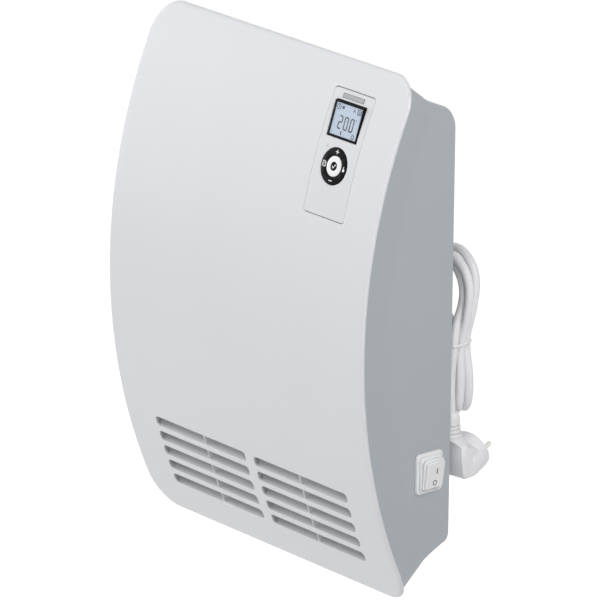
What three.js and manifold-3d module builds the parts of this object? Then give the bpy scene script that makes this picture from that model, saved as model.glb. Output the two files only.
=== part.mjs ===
// Bathroom wall fan heater with a bowed front cover, a fan behind a louvre and a bundled mains cord.
// Millimetres. X runs right as seen from the front, Y runs back into the wall, Z runs up.
// The origin is the middle of the wall bracket's rear face, which lies on the wall plane y = 0.
import * as THREE from "three";
import { mergeVertices } from "three/addons/utils/BufferGeometryUtils.js";
import { ParametricGeometry } from "three/addons/geometries/ParametricGeometry.js";
import Module from "manifold-3d";

// ---------- driving dimensions ----------
const GAP = 0.3; // air between pieces that touch on the real heater

const COVER = { width: 340, height: 470, depth: 113, bowRadius: 497.5, thickness: 3, corner: 29 };
const HOUSING = {
  rear: { halfWidth: 158.3, halfHeight: 197.2, corner: 15.3 },
  crease: { halfWidth: 158.3, halfHeight: 207.2, corner: 12 },
  front: { halfWidth: 167, halfHeight: 230.4, corner: 22.5 },
  wall: 2.5,
  rearRim: -0.8,
  backWallRear: -6.5,
  backWallHalfHeight: 198.8,
  creaseBehindFront: 39.6,
};
const LOUVRE = {
  slotHeight: 8,
  pitch: 14.6,
  topRow: -139,
  rows: 5,
  columns: [
    { from: -127.6, to: -5.2, rib: -62 },
    { from: 6.5, to: 130, rib: 66.5 },
  ],
  bladeThickness: 1.4,
  bladeDepth: 9,
};
const CONTROL = {
  x: 103.7,
  z: 160.5,
  width: 51.8,
  height: 104.4,
  displayZ: 188.5,
  displayWidth: 38,
  displayHeight: 31.4,
  displayBorder: 2.5,
  ringZ: 151.6,
  ringRadius: 16.1,
  okRadius: 8.9,
};
const SWITCH = {
  y: -26,
  z: -121.8,
  flangeWidth: 29.6,
  flangeHeight: 36.8,
  flangeThickness: 2.4,
  rockerTilt: THREE.MathUtils.degToRad(8),
};
const BLOWER = {
  y: -36,
  z: -112,
  left: -118,
  right: 128,
  wheelRadius: 20.5,
  bladeInner: 14.5,
  blades: 18,
  plate: 1.5,
};
const BRACKET = { halfWidth: 78, top: 130, bottom: -193, sheet: 1.5 };
const CORD = { diameter: 8, sides: 10 };

// ---------- solids ----------
const wasm = await Module();
wasm.setup();

function solid(geometry) {
  const bare = geometry.index ? geometry.toNonIndexed() : geometry.clone();
  bare.deleteAttribute("normal");
  bare.deleteAttribute("uv");
  const merged = mergeVertices(bare, 1e-4);
  return new wasm.Manifold(
    new wasm.Mesh({
      numProp: 3,
      vertProperties: new Float32Array(merged.attributes.position.array),
      triVerts: new Uint32Array(merged.index.array),
    }),
  );
}

function geometryOf(body) {
  const mesh = body.getMesh();
  const geometry = new THREE.BufferGeometry();
  geometry.setAttribute("position", new THREE.BufferAttribute(mesh.vertProperties, 3));
  geometry.setIndex(new THREE.BufferAttribute(mesh.triVerts, 1));
  geometry.computeVertexNormals();
  return geometry;
}

const join = (...bodies) => bodies.reduce((sum, body) => sum.add(body));
const cut = (body, ...tools) => tools.reduce((rest, tool) => rest.subtract(tool), body);

// A block given by its two corners.
function block(low, high) {
  const size = high.map((v, i) => v - low[i]);
  const middle = high.map((v, i) => (v + low[i]) / 2);
  return solid(new THREE.BoxGeometry(...size).translate(...middle));
}

// A round bar from one point along an axis letter.
function bar(radius, length, axis, start, sides = 16) {
  const geometry = new THREE.CylinderGeometry(radius, radius, length, sides).translate(0, length / 2, 0);
  if (axis === "x") geometry.rotateZ(-Math.PI / 2);
  if (axis === "z") geometry.rotateX(Math.PI / 2);
  return solid(geometry.translate(...start));
}

const EXTRUDE = { bevelEnabled: false, curveSegments: 6 };
const ALONG_X = new THREE.Matrix4().makeBasis(
  new THREE.Vector3(0, 1, 0),
  new THREE.Vector3(0, 0, 1),
  new THREE.Vector3(1, 0, 0),
);

// Outlines drawn in (x, z) and run along Y, in (y, z) and run along X, and in (x, y) and run along Z.
const runY = (shape, from, to, options = {}) =>
  new THREE.ExtrudeGeometry(shape, { ...EXTRUDE, ...options, depth: to - from })
    .rotateX(Math.PI / 2)
    .translate(0, to, 0);
const runX = (shape, from, to, options = {}) =>
  new THREE.ExtrudeGeometry(shape, { ...EXTRUDE, ...options, depth: to - from })
    .applyMatrix4(ALONG_X)
    .translate(from, 0, 0);
const runZ = (shape, from, to, options = {}) =>
  new THREE.ExtrudeGeometry(shape, { ...EXTRUDE, ...options, depth: to - from }).translate(0, 0, from);

function roundedRect(width, height, radius, x = 0, z = 0) {
  const shape = new THREE.Shape();
  const right = x + width / 2 - radius;
  const left = x - width / 2 + radius;
  const top = z + height / 2 - radius;
  const bottom = z - height / 2 + radius;
  shape.absarc(right, bottom, radius, -Math.PI / 2, 0);
  shape.absarc(right, top, radius, 0, Math.PI / 2);
  shape.absarc(left, top, radius, Math.PI / 2, Math.PI);
  shape.absarc(left, bottom, radius, Math.PI, 1.5 * Math.PI);
  return shape;
}

const polygon = (points) => new THREE.Shape(points.map(([a, b]) => new THREE.Vector2(a, b)));

// A sheet of even thickness that follows a line of (y, z) points.
function sheetOutline(points, thickness) {
  const line = points.map(([a, b]) => new THREE.Vector2(a, b));
  const side = (sign) =>
    line.map((p, i) => {
      const before = line[Math.max(i - 1, 0)];
      const after = line[Math.min(i + 1, line.length - 1)];
      const along = after.clone().sub(before).normalize();
      return new THREE.Vector2(-along.y, along.x).multiplyScalar((sign * thickness) / 2).add(p);
    });
  return new THREE.Shape([...side(1).reverse(), ...side(-1)]);
}

// ---------- the bow of the front ----------
const BOW_CENTRE_Y = COVER.bowRadius - COVER.depth;

// y of the surface that lies `behind` millimetres inside the front face, at height z.
function bowY(z, behind = 0) {
  const radius = COVER.bowRadius - behind;
  return BOW_CENTRE_Y - Math.sqrt(radius * radius - z * z);
}

// The band between two depths behind the front face, as wide as the cover.
function bowBand(front, back) {
  const reach = COVER.height / 2 + 5;
  const steps = 28;
  const heights = Array.from({ length: steps + 1 }, (_, i) => reach - (2 * reach * i) / steps);
  const face = heights.map((z) => [bowY(z, front), z]);
  const rear = heights.map((z) => [bowY(z, back), z]).reverse();
  return solid(runX(polygon([...face, ...rear]), -COVER.width / 2 - 5, COVER.width / 2 + 5));
}

const THROUGH = 130; // deeper than the heater, for cutters that run along Y

// ---------- finishes ----------
const plastic = (color, roughness = 0.5) =>
  new THREE.MeshStandardMaterial({ color, roughness, metalness: 0 });
const metal = (color, roughness = 0.35) =>
  new THREE.MeshStandardMaterial({ color, roughness, metalness: 1 });
const FINISH = {
  coverWhite: plastic(0xe6e7e9, 0.35),
  housingGrey: plastic(0xa8aeb1, 0.45),
  black: plastic(0x141416, 0.35),
  keyWhite: plastic(0xf2f2f2, 0.4),
  lens: plastic(0xdfe8f0, 0.05),
  lcd: plastic(0xb7c6da, 0.2),
  board: plastic(0x1f6b3c, 0.5),
  whitePlastic: plastic(0xf4f4f5, 0.4),
  cordWhite: plastic(0xf0f0f2, 0.55),
  steel: metal(0xb9bcc0, 0.4),
  nickel: metal(0xcfc9bd, 0.25),
  copper: metal(0xb56a3c, 0.4),
  mica: plastic(0xb9a77c, 0.7),
  silicone: plastic(0xeeeeee, 0.6),
  darkPlastic: plastic(0x2c2f33, 0.6),
  blueCase: plastic(0x2b5fa8, 0.5),
};

const heater = new THREE.Group();

function add(name, geometry, finish, parent = heater) {
  const mesh = new THREE.Mesh(geometry.isBufferGeometry ? geometry : geometryOf(geometry), finish);
  mesh.name = name;
  parent.add(mesh);
  return mesh;
}

// ---------- front cover ----------
const COVER_SCREWS = [
  [-138, 182],
  [138, 182],
  [-144, -184],
  [144, -184],
];
const POST = { radius: 5, bore: 1.9, boreDepth: 14 };
const BACK_WALL_FRONT = HOUSING.backWallRear - HOUSING.wall;

function louvreSlots() {
  const slots = [];
  for (let row = 0; row < LOUVRE.rows; row++) {
    const z = LOUVRE.topRow - row * LOUVRE.pitch;
    for (const { from, to } of LOUVRE.columns) {
      const outline = roundedRect(to - from, LOUVRE.slotHeight, LOUVRE.slotHeight / 2 - 0.01, (from + to) / 2, z);
      slots.push(solid(runY(outline, -THROUGH, -40, { curveSegments: 4 })));
    }
  }
  return slots;
}

function coverPosts() {
  return COVER_SCREWS.map(([x, z]) => {
    const length = BACK_WALL_FRONT - GAP - bowY(z, COVER.thickness - 1);
    return bar(POST.radius, length, "y", [x, BACK_WALL_FRONT - GAP - length, z], 12);
  });
}

function frontCover() {
  const outline = roundedRect(COVER.width, COVER.height, COVER.corner);
  const sheet = bowBand(0, COVER.thickness).intersect(
    solid(runY(outline, -THROUGH, 0, { curveSegments: 10 })),
  );
  const window = roundedRect(CONTROL.width, CONTROL.height, 3, CONTROL.x, CONTROL.z);
  const bores = COVER_SCREWS.map(([x, z]) =>
    bar(POST.bore, POST.boreDepth, "y", [x, BACK_WALL_FRONT - GAP - POST.boreDepth + 0.5, z], 10),
  );
  const shell = cut(sheet, ...louvreSlots(), solid(runY(window, -THROUGH, -40)));
  return cut(join(shell, ...coverPosts()), ...bores);
}

// ---------- louvre insert: slanted blades and a middle rib behind every slot ----------
function louvreInsert(column) {
  const { from, to, rib } = column;
  const front = COVER.thickness + GAP;
  const margin = 1.6;
  const low = LOUVRE.topRow - (LOUVRE.rows - 1) * LOUVRE.pitch - LOUVRE.slotHeight / 2 - margin;
  const high = LOUVRE.topRow + LOUVRE.slotHeight / 2 + margin;
  const band = bowBand(front, front + LOUVRE.bladeDepth);
  const wall = 1.5;
  const outer = block([from - margin, -THROUGH, low], [to + margin, 0, high]);
  const inner = block([from - margin + wall, -THROUGH, low + wall], [to + margin - wall, 0, high - wall]);
  const rim = band.intersect(cut(outer, inner));
  const parts = [rim];
  const slope = THREE.MathUtils.degToRad(38);
  for (let row = 0; row < LOUVRE.rows; row++) {
    const z = LOUVRE.topRow - row * LOUVRE.pitch - 1;
    const y = bowY(z, front + LOUVRE.bladeDepth / 2);
    const blade = new THREE.BoxGeometry(to - from + 1, LOUVRE.bladeDepth * 0.9, LOUVRE.bladeThickness)
      .rotateX(slope)
      .translate((from + to) / 2, y, z);
    parts.push(solid(blade));
  }
  parts.push(band.intersect(block([rib - 1, -THROUGH, low + 0.5], [rib + 1, 0, high - 0.5])));
  return join(...parts);
}

// ---------- housing: a moulded tray that flares out to the cover ----------
const SIDE_STEPS = 12;
const CORNER_STEPS = 5;

// Point number k on a rounded rectangle, so that outlines of different sizes match point for point.
function outlinePoint(k, size) {
  const perQuarter = [SIDE_STEPS, 1, SIDE_STEPS, 1];
  const centres = [
    [size.halfWidth - size.corner, size.halfHeight - size.corner, 0],
    [-size.halfWidth + size.corner, size.halfHeight - size.corner, Math.PI / 2],
    [-size.halfWidth + size.corner, -size.halfHeight + size.corner, Math.PI],
    [size.halfWidth - size.corner, -size.halfHeight + size.corner, 1.5 * Math.PI],
  ];
  const onArc = ([x, z, start], step) => {
    const angle = start + ((Math.PI / 2) * step) / CORNER_STEPS;
    return [x + size.corner * Math.cos(angle), z + size.corner * Math.sin(angle)];
  };
  let left = k;
  for (let q = 0; q < 4; q++) {
    if (left <= CORNER_STEPS) return onArc(centres[q], left);
    left -= CORNER_STEPS;
    const span = perQuarter[(q + 1) % 4];
    if (left < span) {
      const from = onArc(centres[q], CORNER_STEPS);
      const to = onArc(centres[(q + 1) % 4], 0);
      return from.map((v, i) => v + ((to[i] - v) * left) / span);
    }
    left -= span;
  }
  return onArc(centres[0], 0);
}
const OUTLINE_POINTS = 4 * CORNER_STEPS + 2 * (SIDE_STEPS + 1);

// The tray's section: each entry is an outline and the rule for its y. The tray widens from its rear rim
// to a crease that follows the bow, and from there in a straight flare to the cover.
function housingSection() {
  const steps = 5;
  const inset = (outline, by) => ({
    halfWidth: outline.halfWidth - by,
    halfHeight: outline.halfHeight - by,
    corner: outline.corner - by,
  });
  const flareAt = (share, by) => {
    const { crease, front } = HOUSING;
    const between = (key) => THREE.MathUtils.lerp(crease[key], front[key], share);
    const outline = { halfWidth: between("halfWidth"), halfHeight: between("halfHeight"), corner: between("corner") };
    const behind = THREE.MathUtils.lerp(HOUSING.creaseBehindFront, COVER.thickness + GAP, share);
    return { ...inset(outline, by), y: (z) => bowY(z, behind) };
  };
  const rear = (by) => ({ ...inset(HOUSING.rear, by), y: () => HOUSING.rearRim });
  const section = [rear(0)];
  for (let i = 0; i <= steps; i++) section.push(flareAt(i / steps, 0));
  for (let i = steps; i >= 0; i--) section.push(flareAt(i / steps, HOUSING.wall));
  section.push(rear(HOUSING.wall));
  return section;
}

function housingRing() {
  const section = housingSection();
  return new ParametricGeometry(
    (u, v, target) => {
      const entry = section[Math.round(v * section.length) % section.length];
      const [x, z] = outlinePoint(Math.round(u * OUTLINE_POINTS) % OUTLINE_POINTS, entry);
      target.set(x, entry.y(z), z);
    },
    OUTLINE_POINTS,
    section.length,
  );
}

// The cord's strain relief in the back wall: a flange on each side and a tapered neck over the cord.
const GLAND = { x: 92, z: 46, radius: 7, bore: 3.4, flange: 9.5, neckEnd: 15.8, neckTip: 5.2 };
const HOOK = { x: 55, width: 20, z: 100, rise: 9 };
const TAB = { halfWidth: 14, reach: 20 };
// The screw that locks the tray to the bracket's tab: its head seats on a flat boss under the sloping wall.
const LOCK = { y: -12, seat: -204.5, bossRadius: 6, length: 15 };
const INTAKE = { columns: 7, pitch: 36, length: 28, width: 4.5, rows: [-20.2, -13], low: 196, high: 212 };
const POWER_BOARD = { x: -40, z: 110, width: 110, height: 76, front: -22 };
const BOARD_POSTS = [
  [-1, -1],
  [1, -1],
  [-1, 1],
  [1, 1],
].map(([i, j]) => [
  POWER_BOARD.x + i * (POWER_BOARD.width / 2 - 6),
  POWER_BOARD.z + j * (POWER_BOARD.height / 2 - 6),
]);

function housing() {
  const inset = HOUSING.wall - 0.6;
  const { halfWidth, corner } = HOUSING.rear;
  const wallOutline = roundedRect(2 * (halfWidth - inset), 2 * HOUSING.backWallHalfHeight, corner - inset);
  const backWall = solid(runY(wallOutline, BACK_WALL_FRONT, HOUSING.backWallRear));
  const posts = BOARD_POSTS.map(([x, z]) =>
    bar(3, BACK_WALL_FRONT - POWER_BOARD.front - 1.6 - GAP + 0.5, "y", [x, POWER_BOARD.front + 1.6 + GAP, z], 10),
  );
  const cuts = [
    block([150, SWITCH.y - 11.5, SWITCH.z - 15], [165, SWITCH.y + 11.5, SWITCH.z + 15]),
    bar(GLAND.radius, 10, "y", [GLAND.x, -12, GLAND.z]),
    block([-TAB.halfWidth - 1, -14, BRACKET.bottom - 1], [TAB.halfWidth + 1, -4, -180]),
    bar(2.3, 14, "z", [0, LOCK.y, LOCK.seat - 2], 12),
    ...COVER_SCREWS.map(([x, z]) => bar(2.3, 6, "y", [x, -11, z], 12)),
  ];
  for (const side of [-1, 1]) {
    const x = side * HOOK.x;
    cuts.push(block([x - HOOK.width / 2 - 1, -12, HOOK.z - 14], [x + HOOK.width / 2 + 1, -4, HOOK.z + 1.8]));
  }
  for (let i = 0; i < INTAKE.columns; i++) {
    const x = (i - (INTAKE.columns - 1) / 2) * INTAKE.pitch;
    for (const y of INTAKE.rows) {
      const low = [x - INTAKE.length / 2, y - INTAKE.width / 2, INTAKE.low];
      cuts.push(block(low, [x + INTAKE.length / 2, y + INTAKE.width / 2, INTAKE.high]));
    }
  }
  const lockBoss = bar(LOCK.bossRadius, 7, "z", [0, LOCK.y, LOCK.seat]);
  return cut(join(solid(housingRing()), backWall, lockBoss, ...posts), ...cuts);
}

// ---------- wall bracket: folded sheet steel with two hooks and a bottom tab ----------
function wallBracket() {
  const { halfWidth, top, bottom, sheet } = BRACKET;
  const plateOutline = roundedRect(2 * halfWidth, top - bottom, 6, 0, (top + bottom) / 2);
  const parts = [solid(runY(plateOutline, -sheet, 0))];
  for (const side of [-1, 1]) {
    const low = side * HOOK.x - HOOK.width / 2;
    const high = side * HOOK.x + HOOK.width / 2;
    const lip = BACK_WALL_FRONT - GAP;
    parts.push(block([low, lip - sheet, HOOK.z], [high, -sheet + 0.5, HOOK.z + sheet]));
    parts.push(block([low, lip - sheet, HOOK.z], [high, lip, HOOK.z + HOOK.rise]));
  }
  parts.push(block([-TAB.halfWidth, -TAB.reach, bottom], [TAB.halfWidth, -sheet + 0.5, bottom + sheet]));
  const holes = [bar(2, 6, "z", [0, LOCK.y, bottom - 2], 12)];
  for (const x of [-62, 62]) {
    for (const z of [112, -150]) holes.push(bar(2.6, 6, "y", [x, -4, z], 12));
  }
  return cut(join(...parts), ...holes);
}

// A pan head screw whose shank runs along an axis from its head.
function screw(headRadius, shankRadius, length) {
  const head = new THREE.CylinderGeometry(headRadius, headRadius, 1.8, 12).translate(0, -0.9, 0);
  const shank = new THREE.CylinderGeometry(shankRadius, shankRadius, length, 8).translate(0, length / 2 - 0.2, 0);
  return join(solid(head), solid(shank));
}

// ---------- control panel, built flat and leaned with the bow ----------
const controlTilt = -Math.asin(CONTROL.z / COVER.bowRadius);
const control = new THREE.Group();
control.position.set(CONTROL.x, bowY(CONTROL.z), CONTROL.z);
control.rotation.x = controlTilt;
control.updateMatrix();
heater.add(control);

// Height in the leaned group of a point that stands at height z on the bow.
function leanedHeight(z) {
  const point = new THREE.Vector3(CONTROL.x, bowY(z), z).applyMatrix4(control.matrix.clone().invert());
  return point.z;
}
const displayHeightZ = leanedHeight(CONTROL.displayZ);
const ringHeightZ = leanedHeight(CONTROL.ringZ);
const BOARD_DEPTH = 13;

const inControl = (body) => body.transform(control.matrix.toArray());

function controlPlate() {
  const clearance = 0.35;
  const outline = roundedRect(
    CONTROL.width - 2 * clearance,
    CONTROL.height - 2 * clearance,
    2.8,
    CONTROL.x,
    CONTROL.z,
  );
  const plate = bowBand(0, 2.2).intersect(solid(runY(outline, -THROUGH, -40)));
  const display = block(
    [-CONTROL.displayWidth / 2 - GAP, -5, displayHeightZ - CONTROL.displayHeight / 2 - GAP],
    [CONTROL.displayWidth / 2 + GAP, 9, displayHeightZ + CONTROL.displayHeight / 2 + GAP],
  );
  const keys = bar(CONTROL.ringRadius + GAP, 14, "y", [0, -5, ringHeightZ], 32);
  const posts = [-1, 1].flatMap((i) =>
    [-1, 1].map((j) => bar(1.8, BOARD_DEPTH - GAP - 1.2, "y", [i * 21, 1.2, j * 46], 8)),
  );
  return join(cut(plate, inControl(display), inControl(keys)), ...posts.map(inControl));
}

function displayFrame() {
  const { displayWidth: width, displayHeight: height, displayBorder: border } = CONTROL;
  const outer = block([-width / 2, 0.1, -height / 2], [width / 2, 5, height / 2]);
  const hole = block([-width / 2 + border, -1, -height / 2 + border], [width / 2 - border, 6, height / 2 - border]);
  return cut(outer, hole);
}

// One of four keys that together make the ring around the round middle key.
function ringKey(quarter) {
  const outer = CONTROL.ringRadius;
  const inner = CONTROL.okRadius + GAP;
  const middle = (quarter * Math.PI) / 2;
  const spread = Math.PI / 4;
  const shape = new THREE.Shape();
  shape.absarc(0, 0, outer, middle - spread + 0.2 / outer, middle + spread - 0.2 / outer, false);
  shape.absarc(0, 0, inner, middle + spread - 0.2 / inner, middle - spread + 0.2 / inner, true);
  const stemAt = [(Math.cos(middle) * (outer + inner)) / 2, (Math.sin(middle) * (outer + inner)) / 2];
  const cap = solid(runY(shape, 0, 2.6, { curveSegments: 8 }));
  return join(cap, bar(1.6, 5.4, "y", [stemAt[0], 2.2, stemAt[1]], 8));
}

function okKey() {
  return join(bar(CONTROL.okRadius, 2.8, "y", [0, -0.2, 0], 24), bar(2, 5.4, "y", [0, 2.2, 0], 10));
}

function buildControl() {
  const board = add(
    "control_board",
    block([-24, 0, -50], [24, 1.6, 50]),
    FINISH.board,
    control,
  );
  board.position.y = BOARD_DEPTH;
  add("display_frame", displayFrame(), FINISH.black, control).position.z = displayHeightZ;
  const halfX = CONTROL.displayWidth / 2 - CONTROL.displayBorder - GAP;
  const halfZ = CONTROL.displayHeight / 2 - CONTROL.displayBorder - GAP;
  const lens = block([-halfX, 0.5, -halfZ], [halfX, 1.7, halfZ]);
  add("display_lens", lens, FINISH.lens, control).position.z = displayHeightZ;
  const lcd = block([-halfX, 2, -halfZ], [halfX, 5, halfZ]);
  add("lcd_module", lcd, FINISH.lcd, control).position.z = displayHeightZ;
  const carrier = cut(
    block([-17.5, 5.3, -13.5], [17.5, BOARD_DEPTH - GAP, 13.5]),
    block([-14, 8, -10], [14, 20, 10]),
  );
  add("display_carrier", carrier, FINISH.whitePlastic, control).position.z = displayHeightZ;
  ["key_right", "key_plus", "key_left", "key_minus"].forEach((name, quarter) => {
    add(name, ringKey(quarter), FINISH.black, control).position.z = ringHeightZ;
  });
  add("key_ok", okKey(), FINISH.keyWhite, control).position.z = ringHeightZ;
  const mat = bar(17.5, 3, "y", [0, BOARD_DEPTH - GAP - 3, 0], 20);
  add("key_mat", mat, FINISH.silicone, control).position.z = ringHeightZ;
}

// ---------- blower: cross-flow wheel, scroll, end plates and motor ----------
const SCROLL_LINE = [
  [-15, -84],
  [-12.5, -96],
  [-11.5, -112],
  [-12.5, -128],
  [-17, -146],
  [-27, -166],
  [-42, -184.5],
  [-52, -193],
];
const TONGUE_LINE = [
  [-59.5, -112],
  [-61.5, -118],
  [-75, -124.5],
  [-84, -128.5],
];

function blowerWheel(left, right) {
  const parts = [];
  const length = right - left;
  const pitchRadius = (BLOWER.wheelRadius + BLOWER.bladeInner) / 2;
  const bladeDepth = BLOWER.wheelRadius - BLOWER.bladeInner;
  for (let i = 0; i < BLOWER.blades; i++) {
    const angle = (i * 2 * Math.PI) / BLOWER.blades;
    const blade = new THREE.BoxGeometry(length, 0.9, bladeDepth)
      .rotateX(0.5)
      .translate(0, 0, pitchRadius)
      .rotateX(angle)
      .translate((left + right) / 2, 0, 0);
    parts.push(solid(blade));
  }
  for (const share of [0, 0.5, 1]) {
    parts.push(bar(BLOWER.wheelRadius - 0.4, 1.5, "x", [left + share * (length - 1.5), 0, 0], 24));
  }
  parts.push(bar(6, 12, "x", [left, 0, 0], 12), bar(6, 12, "x", [right - 12, 0, 0], 12));
  const bores = [
    bar(3, 10, "x", [left - 1, 0, 0], 12),
    bar(3, 10, "x", [right - 9, 0, 0], 12),
  ];
  return cut(join(...parts), ...bores);
}

function endPlate(x, boreRadius) {
  const outline = polygon([
    ...SCROLL_LINE.map(([y, z]) => [y - 1.2, z]),
    [-60, -192],
    [-81, -134],
    ...TONGUE_LINE.slice(0, 2).reverse(),
    [-58, -86],
  ]);
  return cut(solid(runX(outline, x, x + BLOWER.plate)), bar(boreRadius, 10, "x", [x - 4, BLOWER.y, BLOWER.z], 12));
}

function buildBlower() {
  const between = [BLOWER.left + BLOWER.plate + GAP, BLOWER.right - GAP];
  add("blower_scroll", solid(runX(sheetOutline(SCROLL_LINE, 1.5), ...between)), FINISH.darkPlastic);
  add("blower_tongue", solid(runX(sheetOutline(TONGUE_LINE, 1.5), ...between)), FINISH.darkPlastic);
  add("end_plate_left", endPlate(BLOWER.left, 7), FINISH.steel);
  add("end_plate_right", endPlate(BLOWER.right, 6.3), FINISH.steel);
  const spinning = new THREE.Group();
  spinning.position.set(0, BLOWER.y, BLOWER.z);
  heater.add(spinning);
  const wheelLeft = BLOWER.left + 6;
  const wheelRight = BLOWER.right - 5;
  add("blower_wheel", blowerWheel(wheelLeft, wheelRight), FINISH.darkPlastic, spinning);
  add("blower_shaft", bar(2.6, 45, "x", [wheelLeft + 8 - 45, 0, 0], 12), FINISH.steel, spinning);
  add("bearing_pin", bar(2.6, 16, "x", [wheelRight - 8, 0, 0], 12), FINISH.steel, spinning);
  const rotor = cut(bar(10.5, 16, "x", [-140, 0, 0], 16), bar(2.9, 20, "x", [-142, 0, 0], 12));
  add("motor_rotor", rotor, FINISH.steel, spinning);
  const bush = cut(
    bar(5.9, 6, "x", [BLOWER.right - 2, BLOWER.y, BLOWER.z], 16),
    bar(2.9, 10, "x", [BLOWER.right - 4, BLOWER.y, BLOWER.z], 12),
  );
  add("bearing_bush", bush, FINISH.silicone);
}

function buildMotor() {
  const { y, z } = BLOWER;
  const core = cut(
    block([-140, y - 22, z - 26], [-124, y + 22, z + 20]),
    bar(11, 30, "x", [-150, y, z], 16),
    block([-145, y - 12, z - 20], [-120, y + 12, z - 14]),
  );
  add("motor_core", core, FINISH.steel);
  const coil = cut(
    block([-146, y - 11.5, z - 29.5], [-121, y + 11.5, z - 14.5]),
    block([-140.3, y - 20, z - 26.3], [-123.7, y + 20, z - 19.7]),
  );
  add("motor_coil", coil, FINISH.copper);
  for (const [name, x] of [
    ["motor_bridge_outer", -146.5],
    ["motor_bridge_inner", -122.2],
  ]) {
    const strap = cut(
      block([x, y - 20, z - 7], [x + 1.6, y + 20, z + 7]),
      bar(2.9, 10, "x", [x - 4, y, z], 12),
    );
    add(name, strap, FINISH.steel);
  }
}

// ---------- heating element in the outlet duct ----------
function buildHeatingElement() {
  const element = new THREE.Group();
  element.position.set((BLOWER.left + BLOWER.right) / 2 + 1, -56, -150);
  element.rotation.x = -0.675;
  heater.add(element);
  const half = { x: 117, y: 5, z: 18 };
  const frame = cut(
    block([-half.x, -half.y, -half.z], [half.x, half.y, half.z]),
    block([-half.x + 5, -8, -half.z + 4], [half.x - 5, 8, half.z - 4]),
  );
  add("heater_frame", frame, FINISH.mica, element);
  const folds = 26;
  const reach = half.x - 5 - GAP;
  for (let row = 0; row < 3; row++) {
    const z = (row - 1) * 9.3;
    const crest = Array.from({ length: 2 * folds + 1 }, (_, i) => {
      const x = -reach + (i * 2 * reach) / (2 * folds);
      return [x, i % 2 ? 3.3 : -3.3];
    });
    const upper = crest.map(([x, h]) => [x, z + h + 0.5]).reverse();
    const lower = crest.map(([x, h]) => [x, z + h - 0.5]);
    const ribbon = solid(runY(polygon([...lower, ...upper]), -3, 3));
    add("heating_ribbon_" + (row + 1), ribbon, FINISH.steel, element);
  }
  const cutout = bar(8, 5, "y", [95, half.y + GAP, 9], 16);
  add("thermal_cutout", cutout, FINISH.steel, element);
}

// ---------- electronics, clamp and sensor ----------
function buildElectronics() {
  const { x, z, width, height, front } = POWER_BOARD;
  const board = block([x - width / 2, front, z - height / 2], [x + width / 2, front + 1.6, z + height / 2]);
  add("power_board", board, FINISH.board);
  const face = front - GAP;
  add("heating_relay", block([x - 45, face - 16, z + 5], [x - 17, face, z + 30]), FINISH.blueCase);
  add("supply_transformer", block([x - 8, face - 20, z], [x + 22, face, z + 28]), FINISH.darkPlastic);
  add("filter_capacitor", block([x + 28, face - 15, z - 24], [x + 44, face, z + 12]), FINISH.blueCase);
  add("terminal_block", block([x - 45, face - 12, z - 30], [x + 10, face, z - 16]), FINISH.whitePlastic);
  add("room_sensor", bar(2.5, 16, "z", [-120, -16, 182], 10), FINISH.black);
  const clampY = BACK_WALL_FRONT - GAP;
  const clampBody = cut(
    block([GLAND.x - 16, clampY - 9, GLAND.z - 30], [GLAND.x + 16, clampY, GLAND.z - 18]),
    block([GLAND.x - 4.3, clampY - 6, GLAND.z - 32], [GLAND.x + 4.3, clampY + 1, GLAND.z - 16]),
  );
  add("cord_clamp", clampBody, FINISH.whitePlastic);
}

// ---------- mains switch: flange, rocker and a stepped silicone boot over it ----------
function buildSwitch() {
  const face = HOUSING.rear.halfWidth + GAP;
  const unit = new THREE.Group();
  unit.position.set(face, SWITCH.y, SWITCH.z);
  heater.add(unit);
  const yz = (width, height, radius, from, to) => solid(runX(roundedRect(width, height, radius), from, to));
  const flange = cut(
    join(yz(SWITCH.flangeWidth, SWITCH.flangeHeight, 4, 0, SWITCH.flangeThickness), yz(22, 29, 1.5, -6, 1)),
    yz(17, 24.4, 1, -8, 5),
  );
  add("switch_flange", flange, FINISH.whitePlastic, unit);
  add("switch_body", yz(22, 29, 1.5, -20, -6.3), FINISH.darkPlastic, unit);
  const rocker = new THREE.Group();
  rocker.position.x = 0.5;
  rocker.rotation.y = SWITCH.rockerTilt;
  unit.add(rocker);
  const rockerOutline = polygon([
    [-11, 1],
    [-8, -3],
    [8, -3],
    [11, 1],
    [11, 5.5],
    [0, 5],
    [-11, 5.5],
  ]);
  const rockerBody = new THREE.ExtrudeGeometry(rockerOutline, { ...EXTRUDE, depth: 15.6 })
    .applyMatrix4(
      new THREE.Matrix4().makeBasis(
        new THREE.Vector3(0, 0, 1),
        new THREE.Vector3(1, 0, 0),
        new THREE.Vector3(0, 1, 0),
      ),
    )
    .translate(0, -7.8, 0);
  add("switch_rocker", solid(rockerBody), FINISH.whitePlastic, rocker);
  // The boot: two fixed steps and a top pad that leans with the rocker, hollow over it.
  const start = SWITCH.flangeThickness + GAP;
  const lean = (width, height, radius, from, to) =>
    solid(runX(roundedRect(width, height, radius), from, to).rotateY(SWITCH.rockerTilt));
  const steps = join(yz(25, 32, 4, start, 5), lean(22.6, 28.4, 3.4, 2.5, 7.9), lean(20, 25.6, 3, 6, 10.6));
  const inside = join(yz(17.4, 25, 1, start - 2, 4), lean(17, 24.4, 1, 1, 8.6));
  const below = block([-9, -30, -30], [start, 30, 30]);
  add("switch_boot", cut(steps, inside, below), FINISH.silicone, unit);
}

// ---------- mains cord, its hank, the tie and the plug ----------
const LEAD_IN = [
  [92, 16.6, 46],
  [92.2, 19.5, 46.2],
  [94.4, 24.6, 48.2],
  [99.5, 29.6, 51.4],
  [109.3, 33.4, 56],
  [120.6, 33.6, 58.9],
];
const LEAD_OUT = [
  [151, 8, -16],
  [150, 7.2, -34],
  [148.8, 7.2, -55],
  [148.8, 7.8, -70],
  [149, 8.4, -80.4],
];

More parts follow.
